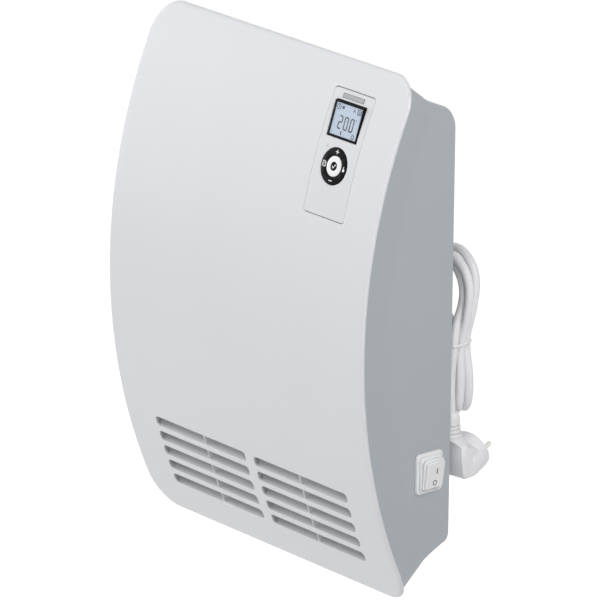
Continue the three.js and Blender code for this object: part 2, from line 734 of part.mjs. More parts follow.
function tube(points, steps) {
  const path = new THREE.CatmullRomCurve3(points.map((p) => new THREE.Vector3(...p)));
  const ring = new THREE.Shape();
  ring.absarc(0, 0, CORD.diameter / 2, 0, 2 * Math.PI);
  return solid(
    new THREE.ExtrudeGeometry(ring, {
      curveSegments: CORD.sides / 2,
      steps,
      extrudePath: path,
      bevelEnabled: false,
    }),
  );
}

// The bundled cord's outer shape: loops above and below a waist that the tie holds.
const WAIST = { x: 144.8, y: 16.4, width: 21.4, depth: 24.6, low: -24, high: -9 };

function hankSolid(grow) {
  const front = new THREE.Shape();
  const left = WAIST.x - WAIST.width / 2 - grow;
  const right = WAIST.x + WAIST.width / 2 + grow;
  front.moveTo(right, WAIST.low);
  front.lineTo(right, WAIST.high);
  front.lineTo(162.5 + grow, 22);
  front.absarc(134.5, 36, 28 + grow, 0, Math.PI, false);
  front.absarc(121.5, 26, 28 + grow, Math.PI, 1.25 * Math.PI, false);
  front.lineTo(left, WAIST.high);
  front.lineTo(left, WAIST.low);
  front.absarc(130, -61, 27 + grow, Math.PI, 2 * Math.PI, false);
  const side = polygon([
    [WAIST.y + WAIST.depth / 2 + grow, WAIST.low],
    [52 + grow, -50],
    [52 + grow, -95],
    [26 - grow, -95],
    [12 - grow, -72],
    [12 - grow, -30],
    [WAIST.y - WAIST.depth / 2 - grow, WAIST.low],
    [WAIST.y - WAIST.depth / 2 - grow, WAIST.high],
    [10 - grow, 20],
    [10 - grow, 70],
    [36.5 + grow, 70],
    [36.5 + grow, 10],
    [WAIST.y + WAIST.depth / 2 + grow, WAIST.high],
  ]);
  return solid(runY(front, 0, 60, { curveSegments: 8 })).intersect(solid(runX(side, 80, 180)));
}

function cordTie() {
  const width = WAIST.width + 2 * GAP;
  const depth = WAIST.depth + 2 * GAP;
  const thickness = 1.4;
  const outer = roundedRect(width + 2 * thickness, depth + 2 * thickness, 2, WAIST.x, WAIST.y);
  outer.holes.push(polygon([
    [WAIST.x - width / 2, WAIST.y - depth / 2],
    [WAIST.x - width / 2, WAIST.y + depth / 2],
    [WAIST.x + width / 2, WAIST.y + depth / 2],
    [WAIST.x + width / 2, WAIST.y - depth / 2],
  ]));
  return solid(runZ(outer, -18, -15));
}

// The plug hangs from the cord with its back upright and its pins raised; it is turned a little about Z.
const PLUG = {
  x: 149.5,
  y: 28.7,
  z: -120.2,
  turn: THREE.MathUtils.degToRad(8),
  tilt: THREE.MathUtils.degToRad(24.4),
  radius: 17.3,
  noseRadius: 15.3,
  nose: 8,
  disc: 9,
  halfWidth: 15.5,
  pinSpread: 9.5,
  pinTip: 19,
};

function buildPlug() {
  const head = new THREE.Group();
  head.position.set(PLUG.x, PLUG.y, PLUG.z);
  head.rotation.set(PLUG.tilt, 0, PLUG.turn, "ZXY");
  heater.add(head);
  const gripOutline = polygon([
    [-23.2, 20.2],
    [-23.2, -11],
    [-21, -15.3],
    [3, -8.8],
    [3, 4],
    [-4, 16.5],
    [-9.5, 20.2],
  ]);
  const upright = new THREE.Matrix4().makeRotationX(-PLUG.tilt);
  const grip = solid(runX(gripOutline, -PLUG.halfWidth, PLUG.halfWidth)).transform(upright.toArray());
  const disc = bar(PLUG.radius, PLUG.disc, "y", [0, -PLUG.disc, 0], 28);
  const nose = new THREE.CylinderGeometry(PLUG.noseRadius, PLUG.radius, PLUG.nose, 28).translate(0, PLUG.nose / 2, 0);
  const above = block([-20, -60, -14.5], [20, PLUG.nose, 40]);
  add("plug_body", join(grip, disc, solid(nose)).intersect(above), FINISH.cordWhite, head);
  for (const [name, side] of [
    ["plug_pin_left", -1],
    ["plug_pin_right", 1],
  ]) {
    const x = side * PLUG.pinSpread;
    const shank = bar(2.4, PLUG.pinTip - 1.4 - PLUG.nose - GAP, "y", [x, PLUG.nose + GAP, 0], 12);
    const tip = new THREE.CylinderGeometry(1.6, 2.4, 1.4, 12).translate(x, PLUG.pinTip - 0.7, 0);
    add(name, join(shank, solid(tip)), FINISH.nickel, head);
  }
  const boot = new THREE.CylinderGeometry(6, 8.2, 19, 16).translate(0, -9.5, 0).rotateX(Math.PI / 2);
  const grooves = [0, 1, 2, 3].map((i) => {
    const groove = cut(bar(12, 1.6, "z", [0, 0, -9 - i * 3], 16), bar(5.4 + i * 0.35, 4, "z", [0, 0, -10 - i * 3], 16));
    return groove;
  });
  const relief = add("plug_strain_relief", cut(solid(boot), ...grooves), FINISH.cordWhite);
  relief.position.set(149.3, 8.6, -80.7);
}

function buildCord() {
  const grown = hankSolid(GAP);
  add("cord_hank", hankSolid(0), FINISH.cordWhite);
  add("cord_lead_in", tube(LEAD_IN, 8).subtract(grown), FINISH.cordWhite);
  add("cord_lead_out", tube(LEAD_OUT, 8).subtract(grown), FINISH.cordWhite);
  add("cord_tie", cordTie(), FINISH.whitePlastic);
  const neckStart = HOUSING.backWallRear + GAP + 2;
  const neck = new THREE.CylinderGeometry(GLAND.neckTip, GLAND.radius - GAP, GLAND.neckEnd - neckStart, 16)
    .translate(GLAND.x, (GLAND.neckEnd + neckStart) / 2, GLAND.z);
  const gland = cut(
    join(
      bar(GLAND.radius - GAP, neckStart + 10.8, "y", [GLAND.x, -10.8, GLAND.z]),
      solid(neck),
      bar(GLAND.flange, 2, "y", [GLAND.x, HOUSING.backWallRear + GAP, GLAND.z]),
      bar(8.5, 1.5, "y", [GLAND.x, BACK_WALL_FRONT - GAP - 1.5, GLAND.z]),
    ),
    bar(GLAND.bore, 30, "y", [GLAND.x, -12, GLAND.z]),
  );
  add("cord_gland", gland, FINISH.whitePlastic);
}

// ---------- assembly ----------
add("front_cover", frontCover(), FINISH.coverWhite);
add("louvre_left", louvreInsert(LOUVRE.columns[0]), FINISH.coverWhite);
add("louvre_right", louvreInsert(LOUVRE.columns[1]), FINISH.coverWhite);
add("control_plate", controlPlate(), FINISH.coverWhite);
add("housing", housing(), FINISH.housingGrey);
add("wall_bracket", wallBracket(), FINISH.steel);
COVER_SCREWS.forEach(([x, z], i) => {
  const fastener = add("cover_screw_" + (i + 1), screw(3.8, 1.5, 14), FINISH.steel);
  fastener.position.set(x, HOUSING.backWallRear + GAP, z);
  fastener.rotation.x = Math.PI;
});
const lockScrew = add("lock_screw", screw(3.4, 1.6, LOCK.length), FINISH.steel);
lockScrew.position.set(0, LOCK.y, LOCK.seat - GAP);
lockScrew.rotation.x = Math.PI / 2;
buildControl();
buildBlower();
buildMotor();
buildHeatingElement();
buildElectronics();
buildSwitch();
buildCord();
buildPlug();

export default heater;
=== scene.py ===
"""Looks of a bathroom wall fan heater: bowed front cover, flared housing, display, key ring, rocker and bundled cord.

Shapes are worked out in millimetres and written in metres, in the frame of the solids:
+X to the right as seen from the front, +Y back into the wall, +Z up.
"""
import math

import bmesh
import bpy
from mathutils import Matrix, Vector
from mathutils.geometry import interpolate_bezier


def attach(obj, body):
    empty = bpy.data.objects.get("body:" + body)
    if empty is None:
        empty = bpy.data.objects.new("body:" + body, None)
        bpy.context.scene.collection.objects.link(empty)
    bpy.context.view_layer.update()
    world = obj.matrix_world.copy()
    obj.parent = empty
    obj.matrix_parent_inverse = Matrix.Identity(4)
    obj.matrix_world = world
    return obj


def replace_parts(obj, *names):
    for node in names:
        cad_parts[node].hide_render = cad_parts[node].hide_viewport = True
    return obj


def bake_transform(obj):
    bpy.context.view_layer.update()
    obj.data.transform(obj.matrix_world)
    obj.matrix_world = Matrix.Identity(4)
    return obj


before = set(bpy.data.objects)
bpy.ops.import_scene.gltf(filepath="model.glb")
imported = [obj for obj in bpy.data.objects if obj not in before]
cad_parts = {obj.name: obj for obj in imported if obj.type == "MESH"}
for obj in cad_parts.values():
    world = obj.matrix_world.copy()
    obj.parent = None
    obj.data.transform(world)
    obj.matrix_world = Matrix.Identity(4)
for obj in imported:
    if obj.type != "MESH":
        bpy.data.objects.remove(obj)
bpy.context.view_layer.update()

MM = 0.001

# ---------------------------------------------------------------- sizes, in millimetres
COVER = dict(width=340, height=470, depth=113, bow=497.5, corner=29)
BOW_CENTRE = COVER["bow"] - COVER["depth"]
SLOT_HEIGHT = 10.2
SLOT_CORNER = 3.6
SLOT_ROWS = [-140.1 - 14.6 * row for row in range(5)]
# Each column's two ends, and the place of the fin between them.
SLOT_COLUMNS = {"left": (-127.6, -5.2, -61.8), "right": (6.5, 130.0, 67.0)}
PANEL = dict(x=103.7, z=160.5, width=51.8, height=104.4)
DISPLAY = dict(z=188.5, width=38.0, height=31.4, side=2.3, end=1.9)
RING = dict(z=151.6, radius=16.1, middle=8.9)
# The tray's outlines at its rear rim, at the crease and at the cover: half width, half height, corner radius.
TRAY_REAR = (158.3, 197.2, 15.3)
TRAY_CREASE = (158.3, 207.2, 12.0)
TRAY_FRONT = (167.0, 230.4, 22.5)
TRAY = dict(wall=2.5, rim=-0.8, back=-6.5, back_front=-9.0, crease=39.6)
SWITCH = dict(x=158.6, y=-26.0, z=-121.8, lean=8.0)
CORD_HOLE = (92.0, 46.0)
CORD_DIAMETER = 8.0
LOCK_SCREW_Y = -12.0


def bow_y(z, behind=0.0):
    """y of the surface that lies that far behind the front face, at height z."""
    return BOW_CENTRE - math.sqrt((COVER["bow"] - behind) ** 2 - z * z)


# ---------------------------------------------------------------- camera
def photo_camera():
    right = Vector((0.64887, 0.76084, 0.009256))
    down = Vector((0.248996, -0.200825, -0.947455))
    ahead = Vector((-0.719005, 0.617079, -0.319757))
    data = bpy.data.cameras.new("photo_camera")
    data.sensor_width = 36.0
    data.lens = 36.0 * 6320.5 / 600
    camera = bpy.data.objects.new("photo_camera", data)
    turn = Matrix((right, -down, -ahead)).transposed().to_4x4()
    camera.matrix_world = Matrix.Translation((3.94666, -3.42372, 1.74930)) @ turn
    bpy.context.scene.collection.objects.link(camera)
    bpy.context.scene.camera = camera


photo_camera()


# ---------------------------------------------------------------- mesh helpers
def new_piece(name, bm, material, body="case", smooth_angle=35.0):
    """A piece from a bmesh in millimetres, that moves with one body."""
    bmesh.ops.recalc_face_normals(bm, faces=bm.faces)
    for vertex in bm.verts:
        vertex.co *= MM
    mesh = bpy.data.meshes.new(name)
    bm.to_mesh(mesh)
    bm.free()
    mesh.polygons.foreach_set("use_smooth", [True] * len(mesh.polygons))
    mesh.set_sharp_from_angle(angle=math.radians(smooth_angle))
    mesh.materials.append(material)
    piece = bpy.data.objects.new(name, mesh)
    bpy.context.scene.collection.objects.link(piece)
    if body:
        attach(piece, body)
    return piece


def even_shading(piece):
    """Large faces decide the shading, so that flat areas next to a rounded edge stay flat."""
    modifier = piece.modifiers.new("even_shading", "WEIGHTED_NORMAL")
    modifier.keep_sharp = True
    return piece


def rounded(width, height, radius, x=0.0, z=0.0, grow=0.0, steps=8):
    """A rounded rectangle as points, the same number for any size, anticlockwise from the lower right."""
    w, h = width / 2 + grow, height / 2 + grow
    r = max(radius + grow, 0.02)
    points = []
    for cx, cz, start in ((w - r, -h + r, -90), (w - r, h - r, 0), (-w + r, h - r, 90), (-w + r, -h + r, 180)):
        for step in range(steps + 1):
            a = math.radians(start + 90 * step / steps)
            points.append((x + cx + r * math.cos(a), z + cz + r * math.sin(a)))
    return points


def ring_of(bm, points):
    return [bm.verts.new(p) for p in points]


def skin(bm, rings, closed=False):
    """Faces between rings of the same number of points."""
    made = []
    pairs = list(zip(rings, rings[1:]))
    if closed:
        pairs.append((rings[-1], rings[0]))
    for a, b in pairs:
        count = len(a)
        for i in range(count):
            j = (i + 1) % count
            made.append(bm.faces.new((a[i], a[j], b[j], b[i])))
    return made


def cap(bm, *rings):
    """One flat face between an outline and the holes in it."""
    edges = []
    for ring in rings:
        for i, vertex in enumerate(ring):
            other = ring[(i + 1) % len(ring)]
            edges.append(bm.edges.get((vertex, other)) or bm.edges.new((vertex, other)))
    if len(rings) == 1:
        bm.faces.new(rings[0])
    else:
        bmesh.ops.triangle_fill(bm, edges=edges, use_beauty=True)


def slice_flat(bm, axis, low, high, step):
    """Cuts across the mesh at even steps, so that it can be bent."""
    normal = Vector((0, 0, 0))
    normal[axis] = 1
    for i in range(int((high - low) / step) + 1):
        place = Vector((0, 0, 0))
        place[axis] = low + i * step
        geometry = bm.verts[:] + bm.edges[:] + bm.faces[:]
        bmesh.ops.bisect_plane(bm, geom=geometry, dist=1e-4, plane_co=place, plane_no=normal)


def bow_sheet(bm):
    """Turns a flat sheet in (x, z, depth behind the front) into the bow of the cover."""
    for vertex in bm.verts:
        x, z, behind = vertex.co
        vertex.co = (x, bow_y(z, behind), z)


def tilted(y, z, degrees, x=0.0):
    """A frame that leans about X, with its origin at that place."""
    return Matrix.Translation((x, y, z)) @ Matrix.Rotation(math.radians(degrees), 4, "X")


def stacked(name, sections, material, place=None, body="case", axes="xzy", smooth_angle=35.0):
    """A closed piece through sections (outline, depth): flat ends, and skin between."""
    bm = bmesh.new()
    rings = []
    for outline, depth in sections:
        points = []
        for a, b in outline:
            points.append({"xzy": (a, depth, b), "yzx": (depth, a, b), "xyz": (a, b, depth)}[axes])
        rings.append(ring_of(bm, points))
    skin(bm, rings)
    cap(bm, rings[0])
    cap(bm, rings[-1])
    if place is not None:
        bmesh.ops.transform(bm, matrix=place, verts=bm.verts)
    return new_piece(name, bm, material, body, smooth_angle)


# ---------------------------------------------------------------- materials
def linear(hex_colour):
    """sRGB hex to the linear colour that the shader takes."""
    channels = [int(hex_colour[i:i + 2], 16) / 255 for i in (1, 3, 5)]
    straight = [c / 12.92 if c <= 0.04045 else ((c + 0.055) / 1.055) ** 2.4 for c in channels]
    return (*straight, 1.0)


def add_node(tree, kind, inputs=None, **settings):
    """Adds a node, sets its properties and its inputs; an input that is a socket is linked."""
    node = tree.nodes.new(kind)
    for key, value in settings.items():
        setattr(node, key, value)
    for key, value in (inputs or {}).items():
        if isinstance(value, bpy.types.NodeSocket):
            tree.links.new(value, node.inputs[key])
        else:
            node.inputs[key].default_value = value
    return node


def moulded(name, colour, roughness, ior=1.5, grain_mm=0.6, grain=0.02, drift=0.03, rough_drift=0.06,
            subsurface=0.0, specular=0.5, metallic=0.0):
    """A surface with a fine grain from its mould, a slow drift of tone, and gloss that varies a little."""
    material = bpy.data.materials.new(name)
    material.use_nodes = True
    tree = material.node_tree
    tree.nodes.clear()
    where = add_node(tree, "ShaderNodeTexCoord")
    slow = add_node(tree, "ShaderNodeTexNoise", {"Vector": where.outputs["Object"], "Scale": 9.0, "Detail": 2.0})
    base = linear(colour)
    low = tuple([c * (1 - drift) for c in base[:3]] + [1.0])
    tone = add_node(tree, "ShaderNodeMix", {"Factor": slow.outputs["Fac"], "A": low, "B": base}, data_type="RGBA")
    fine = add_node(tree, "ShaderNodeTexNoise",
                    {"Vector": where.outputs["Object"], "Scale": 1000 / grain_mm, "Detail": 3.0})
    gloss = add_node(tree, "ShaderNodeMapRange",
                     {"Value": slow.outputs["Fac"], "To Min": roughness - rough_drift / 2,
                      "To Max": roughness + rough_drift / 2})
    bump = add_node(tree, "ShaderNodeBump", {"Height": fine.outputs["Fac"], "Strength": grain, "Distance": 0.0002})
    shader = add_node(tree, "ShaderNodeBsdfPrincipled",
                      {"Base Color": tone.outputs["Result"], "Roughness": gloss.outputs["Result"],
                       "IOR": ior, "Metallic": metallic, "Normal": bump.outputs["Normal"],
                       "Subsurface Weight": subsurface, "Subsurface Scale": 0.002, "Subsurface Radius": (1.0, 1.0, 1.0),
                       "Specular IOR Level": specular})
    add_node(tree, "ShaderNodeOutputMaterial", {"Surface": shader.outputs["BSDF"]})
    return material


# Moulded ABS in a light silver grey: soft highlights, hardly any grain.
cover_abs = moulded("moulded_abs_light_grey", "#dcdde0", 0.32, grain_mm=0.9, grain=0.03, rough_drift=0.03)
# Inside of the slots: the same plastic, painted a little darker than the cover as painted shade in the recess behind
# each slot; duller, with a coarser grain.
slot_shade_abs = moulded("abs_slot_inside_painted_shade", "#cdcfd2", 0.5, grain_mm=0.6, grain=0.10)
# Moulded ABS in mid grey with a fine spark-eroded texture: reads matt, with a broad sheen.
housing_abs = moulded("textured_abs_mid_grey", "#b3b9be", 0.46, grain_mm=0.8, grain=0.10)
# The smooth control plate: same plastic, polished mould, slightly brighter.
plate_abs = moulded("polished_abs_light_grey", "#d9dadd", 0.36, grain_mm=1.2, grain=0.02)
# Black polycarbonate display frame and keys: deep black with a soft gleam.
black_pc = moulded("moulded_polycarbonate_black", "#08080a", 0.36, grain_mm=0.7, grain=0.03, specular=0.07)
# Moulded white keycap in the middle of the ring: matt and a little translucent.
white_key = moulded("moulded_keycap_white", "#eeeeef", 0.42, grain_mm=0.8, grain=0.04, subsurface=0.05)
# Screen-printed marks: flat, dull ink on plastic.
white_ink = moulded("screen_printed_white", "#f0f0f0", 0.5, grain_mm=0.5, grain=0.02)
grey_ink = moulded("screen_printed_grey", "#4c4f54", 0.5, grain_mm=0.5, grain=0.02)
faint_ink = moulded("screen_printed_faint", "#c3c4c8", 0.5, grain_mm=0.5, grain=0.02)
# Liquid crystal: pale blue-grey reflective sheet, dark segments.
crystal = moulded("liquid_crystal_sheet", "#bccbdd", 0.35, grain_mm=0.5, grain=0.01, drift=0.05)
segment = moulded("liquid_crystal_segment", "#10151f", 0.5, grain_mm=0.5, grain=0.01, specular=0.2)
segment_faint = moulded("liquid_crystal_segment_faint", "#37445c", 0.5, grain_mm=0.5, grain=0.01, specular=0.2)
# Switch flange, tie, gland: white polyamide, satin.
white_nylon = moulded("moulded_polyamide_white", "#f3f3f4", 0.42, grain_mm=0.8, grain=0.05)
# Silicone boot over the rocker: matt, slightly translucent white.
silicone_boot = moulded("moulded_silicone_white", "#f2f2f3", 0.5, grain_mm=0.9, grain=0.04, subsurface=0.1)
# Flexible PVC cord and plug: smooth, with a broad soft highlight.
cord_pvc = moulded("extruded_pvc_white", "#f1f1f3", 0.40, grain_mm=1.0, grain=0.03, subsurface=0.04)
# Zinc-plated steel: bluish grey metal with fine rolling marks.
zinc_steel = moulded("zinc_plated_steel", "#b9bcc0", 0.36, grain_mm=0.7, grain=0.06, metallic=1.0, drift=0.08)
# Nickel-plated brass pins: warm, bright metal with a sharp highlight.
nickel = moulded("nickel_plated_brass", "#d6d4d0", 0.25, grain_mm=0.8, grain=0.02, metallic=1.0)
# Stacked steel sheets of the motor: darker metal with a coarse edge grain.
laminations = moulded("stacked_lamination_steel", "#8d9094", 0.45, grain_mm=0.5, grain=0.2, metallic=1.0)
# Enamelled copper winding: reddish brown, glossy, with the ripple of the wire.
copper = moulded("enamelled_copper_winding", "#a5552f", 0.35, grain_mm=0.4, grain=0.3, metallic=1.0)
# Pressed mica board: dull straw colour in uneven flakes.
mica = moulded("pressed_mica_board", "#b09a6b", 0.6, grain_mm=1.2, grain=0.2, drift=0.15)
# Resistance alloy ribbon: dark, slightly oxidised metal.
heat_alloy = moulded("resistance_alloy_ribbon", "#7f7a75", 0.4, grain_mm=0.6, grain=0.1, metallic=1.0)
# Moulded polypropylene: near black, waxy and matt.
dark_pp = moulded("moulded_polypropylene_dark", "#2a2d31", 0.55, grain_mm=0.7, grain=0.12)
# Fibreglass circuit board under green solder mask: satin green.
solder_mask = moulded("solder_masked_fibreglass", "#1d5a35", 0.4, grain_mm=0.5, grain=0.1)
# Moulded cases of the relay and the capacitor: plain satin blue.
blue_case = moulded("moulded_case_blue", "#2b5fa8", 0.45, grain_mm=0.6, grain=0.05)
# Moulded grey silicone: soft and matt.
grey_silicone = moulded("moulded_silicone_grey", "#9a9c9f", 0.6, grain_mm=0.7, grain=0.1)
# Bare badge of satin aluminium foil: a shade darker than the plate, with an etched line round it.
badge_foil = moulded("brushed_aluminium_foil", "#a8a9ac", 0.5, grain_mm=0.4, grain=0.08)
badge_line = moulded("etched_line_dark_grey", "#6b6c70", 0.5, grain_mm=0.4, grain=0.05)


def clear_window():
    """Cast acrylic window: clear, with a hard gloss."""
    material = moulded("cast_acrylic_window", "#f4f8fb", 0.06, ior=1.49, grain=0.0, rough_drift=0.02)
    shader = next(n for n in material.node_tree.nodes if n.type == "BSDF_PRINCIPLED")
    shader.inputs["Alpha"].default_value = 0.06
    return material


window_acrylic = clear_window()


# ---------------------------------------------------------------- front cover with its louvre pockets
def slot_fall(depth, round_over=1.0, slope=0.5):
    """How far the lower lip of a slot has risen at a depth: rounded off at the face, then a straight ramp."""
    turn = math.atan(1 / slope)
    knee = round_over * (1 - math.cos(turn))
    if depth <= knee:
        return round_over * math.sin(math.acos(1 - depth / round_over))
    return round_over * math.sin(turn) + (depth - knee) * slope


POCKET = 2.6  # how far the space behind the panel reaches past each end of a slot
UPPER_LEAN = 0.5  # how fast the upper side of that space rises


def slot_rings(x_from, x_to, z):
    """Outlines of one slot at growing depth: cut straight through the panel, wider and rising behind it."""
    levels = [(0.0, 0.3, 0), (0.1, 0.1, 0)] + [(depth, 0.0, 0) for depth in (0.3, 0.6, 1.0, 1.5, 2.2)]
    levels += [(depth, 0.0, POCKET) for depth in (2.25, 3.5, 5.5, 9.0)]
    low = z - SLOT_HEIGHT / 2
    rings = []
    for depth, grow, wider in levels:
        outline = rounded(x_to - x_from + 2 * wider, SLOT_HEIGHT, SLOT_CORNER, (x_from + x_to) / 2, z, grow, steps=7)
        lean = max(depth - 2.0, 0.0) * UPPER_LEAN
        points = []
        for x, height in outline:
            share = min(max((height - low) / SLOT_HEIGHT, 0.0), 1.0)
            rise = slot_fall(depth) * (1 - share) + lean * share
            points.append((x, height + rise, depth))
        rings.append(points)
    return rings


def front_cover():
    """The bowed cover: a 3 mm sheet with the window for the control plate and ten open slots."""
    bm = bmesh.new()
    edge = [(0.0, -2.4), (0.1, -1.7), (0.35, -1.15), (0.75, -0.7), (1.2, -0.35), (1.8, -0.1), (2.4, 0.0), (2.7, 0.0),
            (2.95, -0.12), (3.0, -0.4)]
    outer = []
    for depth, grow in edge:
        outline = rounded(COVER["width"], COVER["height"], COVER["corner"], grow=grow, steps=16)
        outer.append(ring_of(bm, [(x, z, depth) for x, z in outline]))
    skin(bm, outer)
    window = []
    for depth, grow in ((0.0, 0.25), (0.25, 0.0), (3.0, 0.0)):
        outline = rounded(PANEL["width"], PANEL["height"], 3.0, PANEL["x"], PANEL["z"], grow, steps=6)
        window.append(ring_of(bm, [(x, z, depth) for x, z in outline]))
    skin(bm, window)
    fronts, backs = [window[0]], [window[-1]]
    wall = 0.9  # of the pockets behind the slots
    for x_from, x_to, _ in SLOT_COLUMNS.values():
        for z in SLOT_ROWS:
            inner = [ring_of(bm, ring) for ring in slot_rings(x_from, x_to, z)]
            middle = (x_from + x_to) / 2
            deep = [(x + (wall if x > middle else -wall), high + (wall if high > z + 3 else -wall), depth)
                    for x, high, depth in slot_rings(x_from, x_to, z)[-1]]
            around = rounded(x_to - x_from + 2 * POCKET, SLOT_HEIGHT, SLOT_CORNER, middle, z, 1.4, steps=7)
            shell = [ring_of(bm, deep), ring_of(bm, [(x, z2, 3.0) for x, z2 in around])]
            skin(bm, inner[:3])
            # From 0.3 mm in, the slot's sides and the pocket behind take the second material, the darker grey that
            # paints the shade inside the slot.
            for face in skin(bm, inner[2:] + shell):
                face.material_index = 1
            fronts.append(inner[0])
            backs.append(shell[-1])
    cap(bm, outer[0], *fronts)
    cap(bm, outer[-1], *backs)
    slice_flat(bm, 1, -234.0, 234.0, 6.0)
    bow_sheet(bm)
    piece = even_shading(new_piece("cover_shell", bm, cover_abs, smooth_angle=50))
    piece.data.materials.append(slot_shade_abs)
    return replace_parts(piece, "front_cover")


def louvre_ribs(side):
    """The fin in the middle of each slot, and the frame behind the slots that holds it."""
    x_from, x_to, rib = SLOT_COLUMNS[side]
    low, high = SLOT_ROWS[-1] - 5.4, SLOT_ROWS[0] + 5.4
    bm = bmesh.new()
    fin = []
    for depth, half in ((0.8, 0.3), (0.95, 0.55), (1.3, 0.7), (9.0, 0.8), (11.5, 0.8)):
        outline = [(rib - half, low), (rib + half, low), (rib + half, high), (rib - half, high)]
        fin.append(ring_of(bm, [(x, z, depth) for x, z in outline]))
    skin(bm, fin)
    cap(bm, fin[0])
    cap(bm, fin[-1])
    middle = (x_from + x_to) / 2
    wall = []
    for depth, grow in ((9.6, 1.5), (12.2, 1.5), (12.2, 0.1), (9.6, 0.1)):
        outline = rounded(x_to - x_from, high - low, 3.0, middle, (low + high) / 2, grow)
        wall.append(ring_of(bm, [(x, z, depth) for x, z in outline]))
    skin(bm, wall, closed=True)
    slice_flat(bm, 1, -206.0, -130.0, 4.0)
    bow_sheet(bm)
    piece = even_shading(new_piece("louvre_ribs_" + side, bm, cover_abs))
    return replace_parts(piece, "louvre_" + side)


front_cover()
for side in SLOT_COLUMNS:
    louvre_ribs(side)


# ---------------------------------------------------------------- housing
def tray_outline(half, high, corner, side_steps=40, corner_steps=14):
    """A rounded rectangle with even points along its long sides too."""
    centres = ((half - corner, high - corner, 0), (-half + corner, high - corner, 90),
               (-half + corner, -high + corner, 180), (half - corner, -high + corner, 270))
    points = []
    for q, (cx, cz, start) in enumerate(centres):
        arc = []
        for step in range(corner_steps + 1):
            a = math.radians(start + 90 * step / corner_steps)
            arc.append((cx + corner * math.cos(a), cz + corner * math.sin(a)))
        points += arc
        nx, nz, nstart = centres[(q + 1) % 4]
        a = math.radians(nstart)
        goal = (nx + corner * math.cos(a), nz + corner * math.sin(a))
        count = side_steps if q % 2 else 8
        for step in range(1, count):
            share = step / count
            points.append((arc[-1][0] + (goal[0] - arc[-1][0]) * share, arc[-1][1] + (goal[1] - arc[-1][1]) * share))
    return points


def tray_level(share, inset=0.0):
    """One outline of the tray: share -1 is the rear rim, 0 the crease that follows the bow, 1 the cover."""
    start, end = (TRAY_CREASE, TRAY_FRONT) if share > 0 else (TRAY_CREASE, TRAY_REAR)
    part = abs(share)
    size = [a + (b - a) * part - inset for a, b in zip(start, end)]
    points = []
    for x, z in tray_outline(*size):
        y = bow_y(z, TRAY["crease"] + (3.3 - TRAY["crease"]) * max(share, 0.0))
        if share < 0:
            y += (TRAY["rim"] - y) * part
        points.append((x, y, z))
    return points


def tray_cut(y, inset=0.0):
    """The tray's outline where a plane at that y cuts it, close to the rear rim."""
    part = (y - TRAY["rim"]) / (bow_y(TRAY_CREASE[1], TRAY["crease"]) - TRAY["rim"])
    size = [a + (b - a) * part - inset for a, b in zip(TRAY_REAR, TRAY_CREASE)]
    return [(x, y, z) for x, z in tray_outline(*size)]


def housing_shell():
    """The tray behind the cover, with a back wall, its openings and two rows of intake slots in the top."""
    bm = bmesh.new()
    wall, rim = TRAY["wall"], TRAY["rim"]
    rings = [tray_cut(TRAY["back"], wall), tray_cut(rim - 0.5, wall), tray_cut(rim, wall - 0.4), tray_cut(rim, 0.7),
             tray_cut(rim - 0.25, 0.2), tray_cut(rim - 0.7, 0.0)]
    rings += [tray_level(share) for share in (-0.9, -0.75, -0.5, -0.25, -0.1, -0.03, 0.03)]
    rings += [tray_level(0.1 + 0.9 * i / 9) for i in range(10)]
    rings += [tray_level(share, wall) for share in (1.0, 0.5, 0.0)]
    rings += [tray_cut(TRAY["back_front"], wall)]
    made = [ring_of(bm, ring) for ring in rings]
    skin(bm, made)
    holes_back, holes_front = [], []
    # In the back wall: the cord bush, the bracket's tab, its two hooks and the four cover screws.
    screws = ((-138, 182), (138, 182), (-144, -184), (144, -184))
    openings = [rounded(14, 14, 6.95, *CORD_HOLE, steps=6), rounded(30, 14, 1.5, 0, -187.0, steps=3)]
    openings += [rounded(22, 15.8, 1.0, x, 93.9, steps=2) for x in (-55, 55)]
    openings += [rounded(4.6, 4.6, 2.29, x, z, steps=4) for x, z in screws]
    for outline in openings:
        rear = ring_of(bm, [(x, TRAY["back"], z) for x, z in outline])
        inner = ring_of(bm, [(x, TRAY["back_front"], z) for x, z in outline])
        skin(bm, [rear, inner])
        holes_back.append(rear)
        holes_front.append(inner)
    cap(bm, made[0], *holes_back)
    cap(bm, made[-1], *holes_front)
    piece = new_piece("housing_shell", bm, housing_abs, smooth_angle=40)
    cutters = bmesh.new()
    for column in range(7):
        for y in (-20.2, -13.0):
            outline = rounded(28, 4.5, 2.2, (column - 3) * 36, y, steps=6)
            low = ring_of(cutters, [(x, b, 196.0) for x, b in outline])
            high = ring_of(cutters, [(x, b, 212.0) for x, b in outline])
            skin(cutters, [low, high])
            cap(cutters, low)
            cap(cutters, high)
    cutter = new_piece("intake_cutter", cutters, housing_abs, body=None)
    opened = piece.modifiers.new("intake_slots", "BOOLEAN")
    opened.operation = "DIFFERENCE"
    opened.object = cutter
    opened.solver = "EXACT"
    bpy.context.view_layer.update()
    done = bpy.data.meshes.new_from_object(piece.evaluated_get(bpy.context.evaluated_depsgraph_get()))
    piece.modifiers.clear()
    piece.data = done
    bpy.data.objects.remove(cutter)
    even_shading(piece)
    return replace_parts(piece, "housing")


def lock_boss():
    """The flat seat for the locking screw under the sloping bottom wall."""
    bm = bmesh.new()
    rings = []
    for radius, z in ((2.3, -203.8), (2.6, -204.5), (5.5, -204.5), (6.0, -204.0), (6.0, -199.0), (2.3, -199.0)):
        rings.append(ring_of(bm, [(radius * math.cos(a), LOCK_SCREW_Y + radius * math.sin(a), z)
                                  for a in (2 * math.pi * i / 32 for i in range(32))]))
    skin(bm, rings, closed=True)
    new_piece("lock_screw_seat", bm, housing_abs)


housing_shell()
lock_boss()


# ---------------------------------------------------------------- control plate, display and keys
LEAN = -math.degrees(math.asin(PANEL["z"] / COVER["bow"]))


